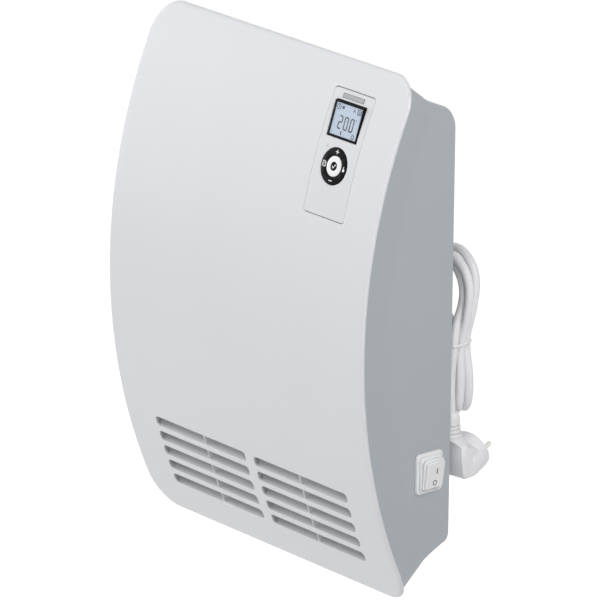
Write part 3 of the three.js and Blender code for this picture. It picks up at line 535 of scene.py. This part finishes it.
def on_plate(z):
    """The frame whose XZ plane touches the bow at the middle of the plate, with its origin at height z on it."""
    face = tilted(bow_y(PANEL["z"]), PANEL["z"], LEAN, PANEL["x"])
    local = face.inverted() @ Vector((PANEL["x"], bow_y(z), z))
    return face @ Matrix.Translation((0, 0, local.z))


def control_plate():
    """The bowed plate around the display and the key ring, with a hairline gap to the cover."""
    bm = bmesh.new()
    outer = []
    for depth, grow in ((0.0, -0.75), (0.1, -0.5), (0.3, -0.38), (0.55, -0.35), (2.2, -0.35)):
        outline = rounded(PANEL["width"] + 0.25, PANEL["height"] - 0.9, 3.0, PANEL["x"], PANEL["z"], grow, steps=8)
        outer.append(ring_of(bm, [(x, z, depth) for x, z in outline]))
    skin(bm, outer)
    scale = math.cos(math.radians(LEAN))
    display_wide, display_high = DISPLAY["width"] + 0.4, (DISPLAY["height"] + 0.4) * scale

    def display_hole(grow):
        return rounded(display_wide, display_high, 0.6, PANEL["x"], DISPLAY["z"], grow, steps=3)

    def ring_hole(grow):
        radius = RING["radius"] + 0.25 + grow
        return [(PANEL["x"] + radius * math.cos(a), RING["z"] + radius * math.sin(a) * scale)
                for a in (2 * math.pi * i / 72 for i in range(72))]

    holes = []
    for hole_at in (display_hole, ring_hole):
        holes.append([ring_of(bm, [(x, z, depth) for x, z in hole_at(grow)])
                      for depth, grow in ((0.0, 0.2), (0.2, 0.0), (2.2, 0.0))])
        skin(bm, holes[-1])
    cap(bm, outer[0], *[hole[0] for hole in holes])
    cap(bm, outer[-1], *[hole[-1] for hole in holes])
    slice_flat(bm, 1, 106.0, 216.0, 5.0)
    bow_sheet(bm)
    piece = even_shading(new_piece("control_plate_face", bm, plate_abs, smooth_angle=50))
    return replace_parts(piece, "control_plate")


def printed(name, shapes, place, material, body="case", lift=0.12, sink=0.5):
    """Thin printed or raised marks: each shape is a closed outline in (x, z), standing `lift` proud of the face."""
    bm = bmesh.new()
    for outline in shapes:
        front = ring_of(bm, [(x, -lift, z) for x, z in outline])
        back = ring_of(bm, [(x, sink, z) for x, z in outline])
        skin(bm, [front, back])
        cap(bm, front)
        cap(bm, back)
    bmesh.ops.transform(bm, matrix=place, verts=bm.verts)
    return new_piece(name, bm, material, body)


def bar_mark(x1, z1, x2, z2, width, slant=0.0):
    """A stroke with flat ends."""
    along = Vector((x2 - x1, z2 - z1)).normalized()
    side = Vector((-along.y, along.x)) * width / 2
    ends = [Vector((x1, z1)) + side, Vector((x1, z1)) - side, Vector((x2, z2)) - side, Vector((x2, z2)) + side]
    return [(p.x + slant * p.y, p.y) for p in ends]


def disc_mark(x, z, radius, steps=20):
    return [(x + radius * math.cos(2 * math.pi * i / steps), z + radius * math.sin(2 * math.pi * i / steps))
            for i in range(steps)]


def loop_marks(points, width):
    """Strokes that follow a line of points."""
    return [bar_mark(*a, *b, width) for a, b in zip(points, points[1:])]


SEGMENTS = {"0": "abcdef", "2": "abged"}  # which of the seven strokes each digit lights


def digit_marks(text, x, z, width, height, stroke):
    """One seven-segment digit, centred at x, z."""
    w, h, gap = width / 2 - stroke / 2, height / 2 - stroke / 2, stroke * 0.12
    lines = {
        "a": (-w + gap, h, w - gap, h), "g": (-w + gap, 0, w - gap, 0), "d": (-w + gap, -h, w - gap, -h),
        "f": (-w, h - gap, -w, gap), "b": (w, h - gap, w, gap),
        "e": (-w, -gap, -w, -h + gap), "c": (w, -gap, w, -h + gap),
    }
    marks = []
    for part in SEGMENTS[text]:
        x1, z1, x2, z2 = lines[part]
        marks.append(bar_mark(x + x1, z + z1, x + x2, z + z2, stroke))
    return marks


def display():
    """Black frame, crystal sheet with its digits and small symbols, and the clear window in front."""
    place = on_plate(DISPLAY["z"])
    w, h = DISPLAY["width"], DISPLAY["height"]
    pane_w, pane_h = w - 2 * DISPLAY["side"], h - 2 * DISPLAY["end"]
    bm = bmesh.new()
    rings = []
    for y, grow in ((0.55, 0.0), (0.2, -0.1), (0.1, -0.35)):
        rings.append(ring_of(bm, [(x, y, z) for x, z in rounded(w, h, 0.8, grow=grow, steps=4)]))
    for y, grow in ((0.12, 0.2), (0.35, 0.0), (4.6, 0.0)):
        rings.append(ring_of(bm, [(x, y, z) for x, z in rounded(pane_w, pane_h, 0.5, grow=grow, steps=4)]))
    rings.append(ring_of(bm, [(x, 4.6, z) for x, z in rounded(w, h, 0.8, steps=4)]))
    skin(bm, rings, closed=True)
    bmesh.ops.transform(bm, matrix=place, verts=bm.verts)
    bezel = new_piece("display_bezel", bm, black_pc)
    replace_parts(bezel, "display_frame")

    def pane(levels):
        return [(rounded(pane_w, pane_h, 0.5, grow=grow, steps=4), y) for grow, y in levels]

    sheet = stacked("display_crystal", pane([(-0.05, 0.95), (-0.05, 4.4)]), crystal, place)
    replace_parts(sheet, "lcd_module")
    window = stacked("display_window", pane([(-0.2, 0.45), (-0.1, 0.55), (-0.1, 0.75)]), window_acrylic, place)
    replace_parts(window, "display_lens")
    marks = []
    for x, text in ((-7.1, "2"), (0.1, "0"), (7.3, "0")):
        marks += digit_marks(text, x, -2.1, 5.1, 11.8, 1.25)
    marks.append(disc_mark(3.9, -7.9, 0.5, 8))
    marks += loop_marks([(-3.2, -9.2), (-3.2, -12.6)], 1.1)
    marks += [bar_mark(-4.2, -10.4, -2.2, -10.4, 0.5)]
    printed("display_digits", marks, place, segment, lift=-0.9, sink=1.2)
    small = []
    ring = disc_mark(-13.0, 10.3, 2.2, 16)
    small += loop_marks(ring + ring[:1], 0.7)
    small += [bar_mark(-13.0, 10.3, -13.0, 11.7, 0.6), bar_mark(-13.0, 10.3, -12.0, 9.8, 0.6)]
    small += [disc_mark(-7.6, 10.5, 1.6, 12)]
    small += loop_marks([(5.2, 9.2), (6.4, 12.0), (7.8, 9.4)], 0.7)
    small += loop_marks([(10.7, 12.6), (15.4, 12.6), (15.4, 8.3), (10.7, 8.3), (10.7, 12.6)], 0.65)
    small += [bar_mark(11.4, z, 14.7, z, 0.55) for z in (11.3, 10.3, 9.3)]
    ring = disc_mark(11.3, 3.0, 0.55, 10)
    small += loop_marks(ring + ring[:1], 0.35)
    small += loop_marks([(10.4, -12.6), (13.2, -12.6), (13.2, -10.6), (11.8, -9.0), (10.4, -10.6), (10.4, -12.6)], 0.75)
    printed("display_symbols", small, place, segment_faint, lift=-0.9, sink=1.2)


def key_sector(name, middle, body):
    """One quarter of the ring, with softly rounded edges and a stem behind."""
    inner, outer = RING["middle"] + 0.25, RING["radius"]
    bm = bmesh.new()
    rings = []
    for y, inset in ((0.42, 0.0), (0.2, 0.08), (0.06, 0.26), (0.0, 0.6)):
        points = []
        for radius, sign in ((outer - inset, 1), (inner + inset, -1)):
            spread = math.pi / 4 - (0.07 + inset) / radius
            for step in range(19):
                a = middle + sign * spread * (2 * step / 18 - 1)
                points.append((radius * math.cos(a), y, radius * math.sin(a)))
        rings.append(points)
    rings.insert(0, [(x, 2.6, z) for x, y, z in rings[0]])
    made = [ring_of(bm, ring) for ring in rings]
    skin(bm, made)
    cap(bm, made[0])
    cap(bm, made[-1])
    bmesh.ops.transform(bm, matrix=on_plate(RING["z"]), verts=bm.verts)
    return new_piece(name, bm, black_pc, body)


def keys():
    """The four quarters of the ring, the white key in the middle, and the marks printed on them."""
    place = on_plate(RING["z"])
    for middle, side in ((0.0, "right"), (0.5, "plus"), (1.0, "left"), (1.5, "minus")):
        piece = key_sector("keycap_" + side, middle * math.pi, side + "_key")
        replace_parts(piece, "key_" + side)
    r = RING["middle"]
    dome = [(disc_mark(0, 0, r, 48), 2.6), (disc_mark(0, 0, r, 48), 0.35), (disc_mark(0, 0, r - 0.15, 48), 0.1),
            (disc_mark(0, 0, r - 0.5, 48), -0.05), (disc_mark(0, 0, r - 2.2, 48), -0.12)]
    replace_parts(stacked("keycap_middle", dome, white_key, place, "ok_key"), "key_ok")
    printed("mark_plus", [bar_mark(-2.0, 12.5, 2.0, 12.5, 0.75), bar_mark(0, 10.5, 0, 14.5, 0.75)], place, white_ink,
            "plus_key", 0.03)
    printed("mark_minus", [bar_mark(-2.0, -12.6, 2.0, -12.6, 0.8)], place, white_ink, "minus_key", 0.03)
    page = loop_marks([(-14.1, 2.1), (-11.6, 2.1), (-10.3, 0.8), (-10.3, -2.3), (-14.1, -2.3), (-14.1, 2.1)], 0.65)
    page += [bar_mark(-13.2, 0.5, -11.4, 0.5, 0.45), bar_mark(-13.2, -0.8, -11.4, -0.8, 0.45)]
    printed("mark_page", page, place, white_ink, "left_key", 0.03)
    hand = [bar_mark(12.1, -0.3, 12.1, 2.2, 0.8), disc_mark(12.4, -0.9, 1.35, 14)]
    printed("mark_hand", hand, place, white_ink, "right_key", 0.03)
    printed("mark_spot", [disc_mark(0, 0, 3.9, 36)], place, black_pc, "ok_key", 0.16)
    printed("mark_tick", loop_marks([(-2.0, 0.1), (-0.4, -1.7), (2.1, 1.9)], 0.75), place, white_ink, "ok_key", 0.2)


BADGE_Z = 207.3


def badge_and_symbol():
    """The bare badge above the display, on its own tangent to the bow, and the faint warm air symbol."""
    place = tilted(bow_y(BADGE_Z), BADGE_Z, -math.degrees(math.asin(BADGE_Z / COVER["bow"])), PANEL["x"])
    outline = rounded(26.8, 4.2, 0.4, 0.0, 0.0, steps=3)
    inner = rounded(26.8, 4.2, 0.4, 0.0, 0.0, grow=-0.15, steps=3)
    badge = stacked("blank_badge", [(outline, 0.8), (outline, -0.1), (inner, -0.22)], badge_foil, place)
    corners = [(-13.2, -1.9), (13.2, -1.9), (13.2, 1.9), (-13.2, 1.9), (-13.2, -1.9)]
    printed("badge_border", loop_marks(corners, 0.45), place, badge_line, lift=0.26)
    place = on_plate(166.0)
    waves = []
    for x in (-15.2, -14.0, -12.8):
        points = [(x + 0.35 * math.sin(t * 2.1), -1.5 + t) for t in (0, 0.75, 1.5, 2.25, 3.0)]
        waves += loop_marks(points, 0.32)
    printed("symbol_warm_air", waves, place, faint_ink, lift=0.05)


control_plate()
display()
keys()
badge_and_symbol()


# ---------------------------------------------------------------- rocker switch
def switch():
    """Flange and silicone boot of the rocker; the boot's foot stays upright and its stepped top leans as far as the
    rocker does.
    """
    at = Matrix.Translation((SWITCH["x"], SWITCH["y"], SWITCH["z"]))
    leaning = at @ Matrix.Rotation(math.radians(SWITCH["lean"]), 4, "Y")
    flange = []
    for x, grow in ((-5.8, -4.0), (0.0, -4.0), (0.0, 0.0), (1.3, 0.0), (2.0, -0.25), (2.4, -0.9)):
        flange.append((rounded(29.6, 36.8, 4.0, grow=grow, steps=8), x))
    flange_piece = stacked("switch_frame", flange, white_nylon, at, axes="yzx")
    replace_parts(flange_piece, "switch_flange")
    bm = bmesh.new()
    # Each step of the boot: width, height, corner, where it starts and ends, and its share of the lean.
    steps = [(25.0, 32.0, 4.0, 2.45, 4.9, 0.0), (22.4, 28.4, 3.6, 4.9, 7.7, 0.8), (19.6, 25.4, 3.2, 7.7, 10.5, 1.0)]
    rings = []
    for width, height, radius, low, high, lean in steps:
        for x, grow in ((low, -0.25), (low + 0.35, 0.0), (high - 0.9, 0.0), (high - 0.35, -0.2), (high, -0.8)):
            points = []
            for y, z in rounded(width, height, radius, grow=grow, steps=8):
                tip = z * math.sin(math.radians(SWITCH["lean"])) * lean
                points.append((x + tip - (0.5 * lean), y, z))
            rings.append(points)
    width, height, radius, low, high, lean = steps[-1]
    for inset, sink in ((2.2, 0.12), (5.0, 0.28), (8.2, 0.33)):
        points = []
        for y, z in rounded(width, height, radius, grow=-inset, steps=8):
            tip = z * math.sin(math.radians(SWITCH["lean"])) * lean
            points.append((high + tip - 0.5 - sink, y, z))
        rings.append(points)
    made = [ring_of(bm, ring) for ring in rings]
    skin(bm, made)
    cap(bm, made[0])
    cap(bm, made[-1])
    bmesh.ops.transform(bm, matrix=at, verts=bm.verts)
    boot = new_piece("switch_boot_soft", bm, silicone_boot, body=None, smooth_angle=60)
    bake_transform(boot)
    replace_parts(boot, "switch_boot")
    face = leaning @ Matrix.Translation((9.75, 0, 0)) @ Matrix.Rotation(math.radians(90), 4, "Z")
    printed("mark_on", [bar_mark(1.4, 2.2, 1.4, 7.2, 0.85)], face, grey_ink, "rocker", 0.1)
    ring = disc_mark(0.2, -6.3, 2.1, 28)
    printed("mark_off", loop_marks(ring + ring[:1], 0.62), face, grey_ink, "rocker", 0.1)


switch()


# ---------------------------------------------------------------- mains cord, tie, gland and plug
CORD_ROUTE = [
    (92.0, 3.0, 46.0), (92.0, 10.0, 46.0), (92.1, 17.0, 46.1), (94.2, 24.2, 48.0), (99.8, 29.9, 51.6),
    (109.3, 33.4, 56.0), (120.9, 33.3, 59.1), (132.8, 31.6, 59.4), (144.5, 29.9, 54.5), (152.2, 29.1, 45.0),
    (154.8, 28.2, 33.0), (154.4, 27.0, 20.7), (152.8, 25.9, 8.4), (150.0, 25.1, -3.6), (147.9, 24.4, -15.8),
    (149.1, 24.3, -28.1), (151.7, 24.3, -40.2), (152.9, 24.3, -52.5), (151.9, 25.1, -64.8),
    (146.8, 27.8, -75.6), (137.3, 32.8, -81.3), (126.6, 38.5, -79.9), (118.6, 42.9, -71.8),
    (116.0, 43.9, -60.0), (118.8, 40.4, -48.6), (124.7, 34.8, -39.3), (131.9, 28.8, -31.1),
    (137.8, 23.2, -22.0), (137.2, 20.6, -10.2), (129.6, 22.1, -0.8), (119.6, 23.9, 6.3), (111.7, 24.9, 15.6),
    (107.2, 23.4, 27.0), (106.6, 22.2, 39.1), (112.7, 20.8, 49.6), (123.1, 20.7, 56.0), (135.4, 20.6, 56.6),
    (146.6, 20.0, 51.6), (154.3, 19.6, 42.1), (157.1, 19.4, 30.1), (156.6, 18.9, 17.8), (155.0, 18.1, 5.5),
    (152.7, 17.6, -6.6), (150.7, 16.7, -18.8), (150.5, 16.3, -31.2), (151.0, 16.3, -43.6),
    (151.2, 16.2, -56.0), (149.4, 17.0, -68.2), (143.3, 20.3, -78.2), (133.2, 25.6, -82.6),
    (122.8, 31.2, -79.8), (115.7, 35.0, -70.6), (114.6, 35.0, -58.5), (119.1, 31.0, -47.8),
    (126.2, 25.4, -39.4), (134.2, 19.8, -31.8), (140.6, 15.0, -22.6), (139.5, 12.5, -10.9),
    (131.0, 13.4, -2.1), (120.7, 15.6, 4.4), (110.5, 17.7, 11.1), (102.2, 22.2, 18.9), (99.4, 27.3, 29.6),
    (102.7, 29.3, 41.1), (112.2, 28.9, 48.8), (124.1, 26.2, 50.2), (135.5, 23.3, 46.8), (144.3, 21.6, 38.5),
    (148.2, 20.6, 26.9), (148.0, 18.8, 14.7), (147.4, 14.7, 3.0), (149.5, 10.0, -8.2), (151.0, 7.8, -20.2),
    (150.0, 7.2, -32.6), (148.9, 7.2, -44.9), (148.7, 7.2, -57.3), (148.8, 7.8, -69.7), (148.9, 8.4, -82.0),
]


def smooth_line(points, per_span):
    """Points along a smooth curve through all the given ones."""
    line = [Vector(p) for p in points]
    handles = []
    for i, p in enumerate(line):
        before, after = line[max(i - 1, 0)], line[min(i + 1, len(line) - 1)]
        handles.append((after - before) / 6)
    out = []
    for i in range(len(line) - 1):
        a, b = line[i], line[i + 1]
        out += interpolate_bezier(a, a + handles[i], b - handles[i + 1], b, per_span + 1)[:-1]
    return out + [line[-1]]


def cord():
    """The mains cord as one round strand, from the bush through all the folds of the bundle to the plug."""
    data = bpy.data.curves.new("mains_cord", "CURVE")
    data.dimensions = "3D"
    data.bevel_depth = CORD_DIAMETER / 2 * MM
    data.bevel_resolution = 5
    data.use_fill_caps = True
    spline = data.splines.new("POLY")
    line = smooth_line(CORD_ROUTE, 5)
    spline.points.add(len(line) - 1)
    for point, place in zip(spline.points, line):
        point.co = (*(place * MM), 1)
    data.materials.append(cord_pvc)
    piece = bpy.data.objects.new("mains_cord", data)
    bpy.context.scene.collection.objects.link(piece)
    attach(piece, "case")
    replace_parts(piece, "cord_hank", "cord_lead_in", "cord_lead_out")
    return piece


def hull_around(circles, grow):
    """The outline of a band pulled tight around some round strands."""
    points = []
    for x, y, radius in circles:
        points += [(x + (radius + grow) * math.cos(a), y + (radius + grow) * math.sin(a))
                   for a in (2 * math.pi * i / 24 for i in range(24))]
    points = sorted(set(points))

    def half(ordered):
        chain = []
        for p in ordered:
            while len(chain) > 1:
                (x1, y1), (x2, y2) = chain[-2], chain[-1]
                if (x2 - x1) * (p[1] - y1) - (y2 - y1) * (p[0] - x1) > 0:
                    break
                chain.pop()
            chain.append(p)
        return chain[:-1]

    return half(points) + half(points[::-1])


TIE_Z = -16.5
STRANDS_AT_TIE = [(147.9, 24.4, 4.0), (138.3, 21.7, 4.0), (151.0, 16.9, 4.0), (141.4, 13.3, 4.0), (150.8, 8.5, 4.0)]


def even_loop(points, count):
    """The same closed outline with evenly spaced points."""
    line = [Vector(p) for p in points] + [Vector(points[0])]
    lengths = [(b - a).length for a, b in zip(line, line[1:])]
    total = sum(lengths)
    out, i, walked = [], 0, 0.0
    for k in range(count):
        goal = total * k / count
        while walked + lengths[i] < goal:
            walked += lengths[i]
            i += 1
        out.append(line[i].lerp(line[i + 1], (goal - walked) / lengths[i]))
    return out


def cord_tie():
    """The soft band around the bundle's waist."""
    loop = even_loop(hull_around(STRANDS_AT_TIE, 0.15), 96)
    bm = bmesh.new()
    section = [(0.0, -1.3), (0.75, -1.2), (1.05, -0.6), (1.1, 0.0), (1.05, 0.6), (0.75, 1.2), (0.0, 1.3)]
    rings = []
    for i, p in enumerate(loop):
        ahead, behind = loop[(i + 1) % len(loop)], loop[i - 1]
        along = (ahead - behind).normalized()
        out = Vector((along.y, -along.x))
        rings.append(ring_of(bm, [(p.x + out.x * d, p.y + out.y * d, TIE_Z + z) for d, z in section]))
    skin(bm, rings, closed=True)
    band = new_piece("tie_band", bm, white_nylon, smooth_angle=70)
    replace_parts(band, "cord_tie")
    return band


def lathe(name, profile, material, place, body="case", steps=48, smooth_angle=35.0):
    """A turned piece: profile points are (radius, height along local Z)."""
    bm = bmesh.new()
    rings = []
    for radius, height in profile:
        rings.append(ring_of(bm, [(radius * math.cos(a), radius * math.sin(a), height)
                                  for a in (2 * math.pi * i / steps for i in range(steps))]))
    skin(bm, rings)
    cap(bm, rings[0])
    cap(bm, rings[-1])
    bmesh.ops.transform(bm, matrix=place, verts=bm.verts)
    return new_piece(name, bm, material, body, smooth_angle)


BOOT = dict(x=149.3, y=8.6, top=-80.7, length=19.0)


def strain_relief():
    """The ribbed sleeve between the cord and the plug, wider toward the plug."""
    profile = [(4.1, 3.4), (4.9, 3.3), (5.7, 2.6), (6.7, 0.4), (7.1, -1.2)]
    for top, radius in ((-6.9, 7.5), (-10.5, 7.9), (-14.1, 8.3)):
        profile += [(radius, top + 0.4), (radius - 0.15, top), (radius - 1.9, top - 0.3), (radius - 1.9, top - 1.6),
                    (radius, top - 1.9), (radius + 0.15, top - 2.3)]
    profile += [(8.7, -17.2), (8.6, -17.5), (7.5, -17.7), (7.5, -18.7), (8.6, -19.0)]
    place = Matrix.Translation((BOOT["x"], BOOT["y"], BOOT["top"]))
    piece = lathe("plug_boot", profile, cord_pvc, place, steps=56)
    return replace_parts(piece, "plug_strain_relief")


def fused(name, bm, material, voxel, rounds, body="case"):
    """Overlapping closed shapes melted into one soft moulding."""
    rough = new_piece(name + "_rough", bm, material, body=None)
    melt = rough.modifiers.new("melt", "REMESH")
    melt.mode = "VOXEL"
    melt.voxel_size = voxel * MM
    soften = rough.modifiers.new("soften", "SMOOTH")
    soften.factor = 0.5
    soften.iterations = rounds
    bpy.context.view_layer.update()
    mesh = bpy.data.meshes.new_from_object(rough.evaluated_get(bpy.context.evaluated_depsgraph_get()))
    bpy.data.objects.remove(rough)
    mesh.name = name
    mesh.polygons.foreach_set("use_smooth", [True] * len(mesh.polygons))
    piece = bpy.data.objects.new(name, mesh)
    bpy.context.scene.collection.objects.link(piece)
    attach(piece, body)
    return piece


def add_hull(bm, points):
    """The tightest closed shape around some points, added to the mesh."""
    made = bmesh.ops.convex_hull(bm, input=[bm.verts.new(p) for p in points])
    bmesh.ops.delete(bm, geom=[g for g in made["geom_interior"] if isinstance(g, bmesh.types.BMVert)], context="VERTS")


PLUG = dict(x=149.5, y=28.7, z=-120.2, turn=8.0, tilt=24.4, radius=17.3, base=-14.5, flat=15.5)
# Side view of the grip, (y, z) before it tilts, with its half width there; the first four are its upper edge.
GRIP = [(-25.4, 15.0, 13.2), (-20.5, 14.6, 15.3), (-13.4, 10.2, 15.5), (-7.0, 5.0, 15.5), (3.0, 4.0, 15.5),
        (-25.4, 2.0, 14.4), (-23.4, -11.0, 14.8), (-20.9, -15.1, 13.6), (3.0, -8.6, 15.5)]


def plug():
    """Angled plug: a thumb-rest grip that runs into the sleeve, a collar and a nose around the pins."""
    middle = Matrix.Translation((PLUG["x"], PLUG["y"], PLUG["z"]))
    upright = middle @ Matrix.Rotation(math.radians(PLUG["turn"]), 4, "Z")
    head = upright @ Matrix.Rotation(math.radians(PLUG["tilt"]), 4, "X")
    bm = bmesh.new()
    grip = [upright @ Vector((side * half, y, z)) for y, z, half in GRIP for side in (-1, 1)]
    side = [(x, z) for x, z in disc_mark(0, 0, PLUG["radius"], 60) if abs(x) < PLUG["flat"]]
    add_hull(bm, grip + [head @ Vector((x, y, z)) for x, z in side for y in (-10.5, -2.0)])
    low = BOOT["top"] - BOOT["length"]
    neck = [Vector((BOOT["x"] + x, BOOT["y"] + y, low)) for x, y in disc_mark(0, 0, 8.6, 24)]
    crown = [head @ Vector((x, -10.5, z)) for x, z in side if z > 0]
    add_hull(bm, neck + crown + grip[:8])
    collar = [head @ Vector((x + shift, y, z - shift)) for y, r, shift in (
        (-10.5, PLUG["radius"] - 0.2, 0.0), (0.0, PLUG["radius"] + 0.3, 0.0), (7.0, PLUG["radius"] + 0.9, -0.8),
        (8.0, PLUG["radius"] + 0.2, -0.8)) for x, z in disc_mark(0, 0, r, 48)]
    add_hull(bm, collar)
    for vertex in bm.verts:
        local = head.inverted() @ vertex.co
        if local.z < PLUG["base"]:
            local.z = PLUG["base"]
            vertex.co = head @ local
    piece = fused("plug_moulding", bm, cord_pvc, 0.5, 4)
    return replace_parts(piece, "plug_body")


def gland():
    """The bush in the back wall: a flange, and a neck that tapers along the cord."""
    profile = [(4.05, -6.2), (9.1, -6.2), (9.5, -5.9), (9.5, -4.6), (9.1, -4.2), (6.9, -4.1), (6.7, -3.6)]
    for i in range(4):
        y, radius = -0.5 + 3.8 * i, 6.55 - 0.3 * i
        profile += [(radius, y), (radius - 0.8, y + 0.3), (radius - 0.85, y + 1.2), (radius - 0.1, y + 1.5)]
    profile += [(5.25, 15.2), (4.9, 15.8), (4.05, 15.8)]
    place = Matrix.Translation((CORD_HOLE[0], 0, CORD_HOLE[1])) @ Matrix.Rotation(math.radians(-90), 4, "X")
    piece = lathe("cord_bush", profile, white_nylon, place, steps=40)
    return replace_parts(piece, "cord_gland")


main_cord = cord()
tie = cord_tie()
sleeve = strain_relief()
plug_moulding = plug()
gland()

# ---------------------------------------------------------------- carried-over pieces
FINISHES = {
    zinc_steel: ["wall_bracket", "cover_screw_1", "cover_screw_2", "cover_screw_3", "cover_screw_4", "lock_screw",
                 "end_plate_left", "end_plate_right", "blower_shaft", "bearing_pin", "motor_bridge_outer",
                 "motor_bridge_inner", "thermal_cutout"],
    laminations: ["motor_core", "motor_rotor"],
    copper: ["motor_coil"],
    mica: ["heater_frame"],
    heat_alloy: ["heating_ribbon_1", "heating_ribbon_2", "heating_ribbon_3"],
    dark_pp: ["blower_scroll", "blower_tongue", "blower_wheel", "switch_body", "supply_transformer", "room_sensor"],
    solder_mask: ["control_board", "power_board"],
    blue_case: ["heating_relay", "filter_capacitor"],
    white_nylon: ["display_carrier", "cord_clamp", "terminal_block", "switch_rocker"],
    grey_silicone: ["key_mat", "bearing_bush"],
    nickel: ["plug_pin_left", "plug_pin_right"],
}
for finish, names in FINISHES.items():
    for name in names:
        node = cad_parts[name]
        node.data.materials.clear()
        node.data.materials.append(finish)


# ---------------------------------------------------------------- floor, light and background
FLOOR_Z = -1.1
FLOOR_REACH = 20.0


def shown_rays(tree):
    """1 for the rays that show the background itself: from the camera, and through gloss and glass."""
    rays = add_node(tree, "ShaderNodeLightPath")
    seen = rays.outputs["Is Camera Ray"]
    for kind in ("Is Glossy Ray", "Is Transmission Ray"):
        seen = add_node(tree, "ShaderNodeMath", {0: seen, 1: rays.outputs[kind]}, operation="MAXIMUM").outputs[0]
    return seen


def room():
    """A pale floor that keeps the shadow, and a soft white surrounding."""
    floor_mesh = bpy.data.meshes.new("floor")
    bm = bmesh.new()
    bm.faces.new([bm.verts.new((x * FLOOR_REACH, y * FLOOR_REACH, FLOOR_Z))
                  for x, y in ((-1, -1), (1, -1), (1, 1), (-1, 1))])
    bm.to_mesh(floor_mesh)
    bm.free()
    floor = bpy.data.objects.new("floor", floor_mesh)
    bpy.context.scene.collection.objects.link(floor)
    paint = bpy.data.materials.new("pale_floor_paint")
    paint.use_nodes = True
    tree = paint.node_tree
    tree.nodes.clear()
    matt = add_node(tree, "ShaderNodeBsdfDiffuse", {"Color": linear("#dadada")})
    white = add_node(tree, "ShaderNodeEmission", {"Color": (1, 1, 1, 1), "Strength": 0.78})
    both = add_node(tree, "ShaderNodeAddShader", {0: matt.outputs[0], 1: white.outputs[0]})
    mix = add_node(tree, "ShaderNodeMixShader", {0: shown_rays(tree), 1: matt.outputs[0], 2: both.outputs[0]})
    add_node(tree, "ShaderNodeOutputMaterial", {"Surface": mix.outputs[0]})
    floor_mesh.materials.append(paint)

    world = bpy.data.worlds.new("soft_room")
    bpy.context.scene.world = world
    world.use_nodes = True
    tree = world.node_tree
    tree.nodes.clear()
    dim = add_node(tree, "ShaderNodeBackground", {"Color": (1, 1, 1, 1), "Strength": 0.31})
    white = add_node(tree, "ShaderNodeBackground", {"Color": (1, 1, 1, 1), "Strength": 1.0})
    mix = add_node(tree, "ShaderNodeMixShader", {0: shown_rays(tree), 1: dim.outputs[0], 2: white.outputs[0]})
    add_node(tree, "ShaderNodeOutputWorld", {"Surface": mix.outputs[0]})


def lamp(name, place, size, power):
    """A soft box of that width and height, aimed at the middle of the heater."""
    data = bpy.data.lights.new(name, "AREA")
    data.shape = "RECTANGLE"
    data.size, data.size_y = size
    data.energy = power
    lit = bpy.data.objects.new(name, data)
    lit.location = place
    lit.rotation_mode = "QUATERNION"
    lit.rotation_quaternion = (-Vector(place)).to_track_quat("-Z", "Y")
    bpy.context.scene.collection.objects.link(lit)


room()
lamp("high_soft_box", (-1.3, -2.2, 2.9), (1.6, 1.6), 32)
lamp("left_soft_box", (-2.3, -0.7, 0.3), (1.2, 1.2), 27)
lamp("side_soft_box", (1.7, -0.3, 1.3), (1.0, 1.0), 17)
lamp("front_strip_box", (2.7, -1.5, -0.1), (0.22, 3.4), 18)
lamp("front_soft_box", (0.2, -3.0, 1.0), (0.5, 0.9), 19)
bpy.context.scene.view_settings.view_transform = "Standard"
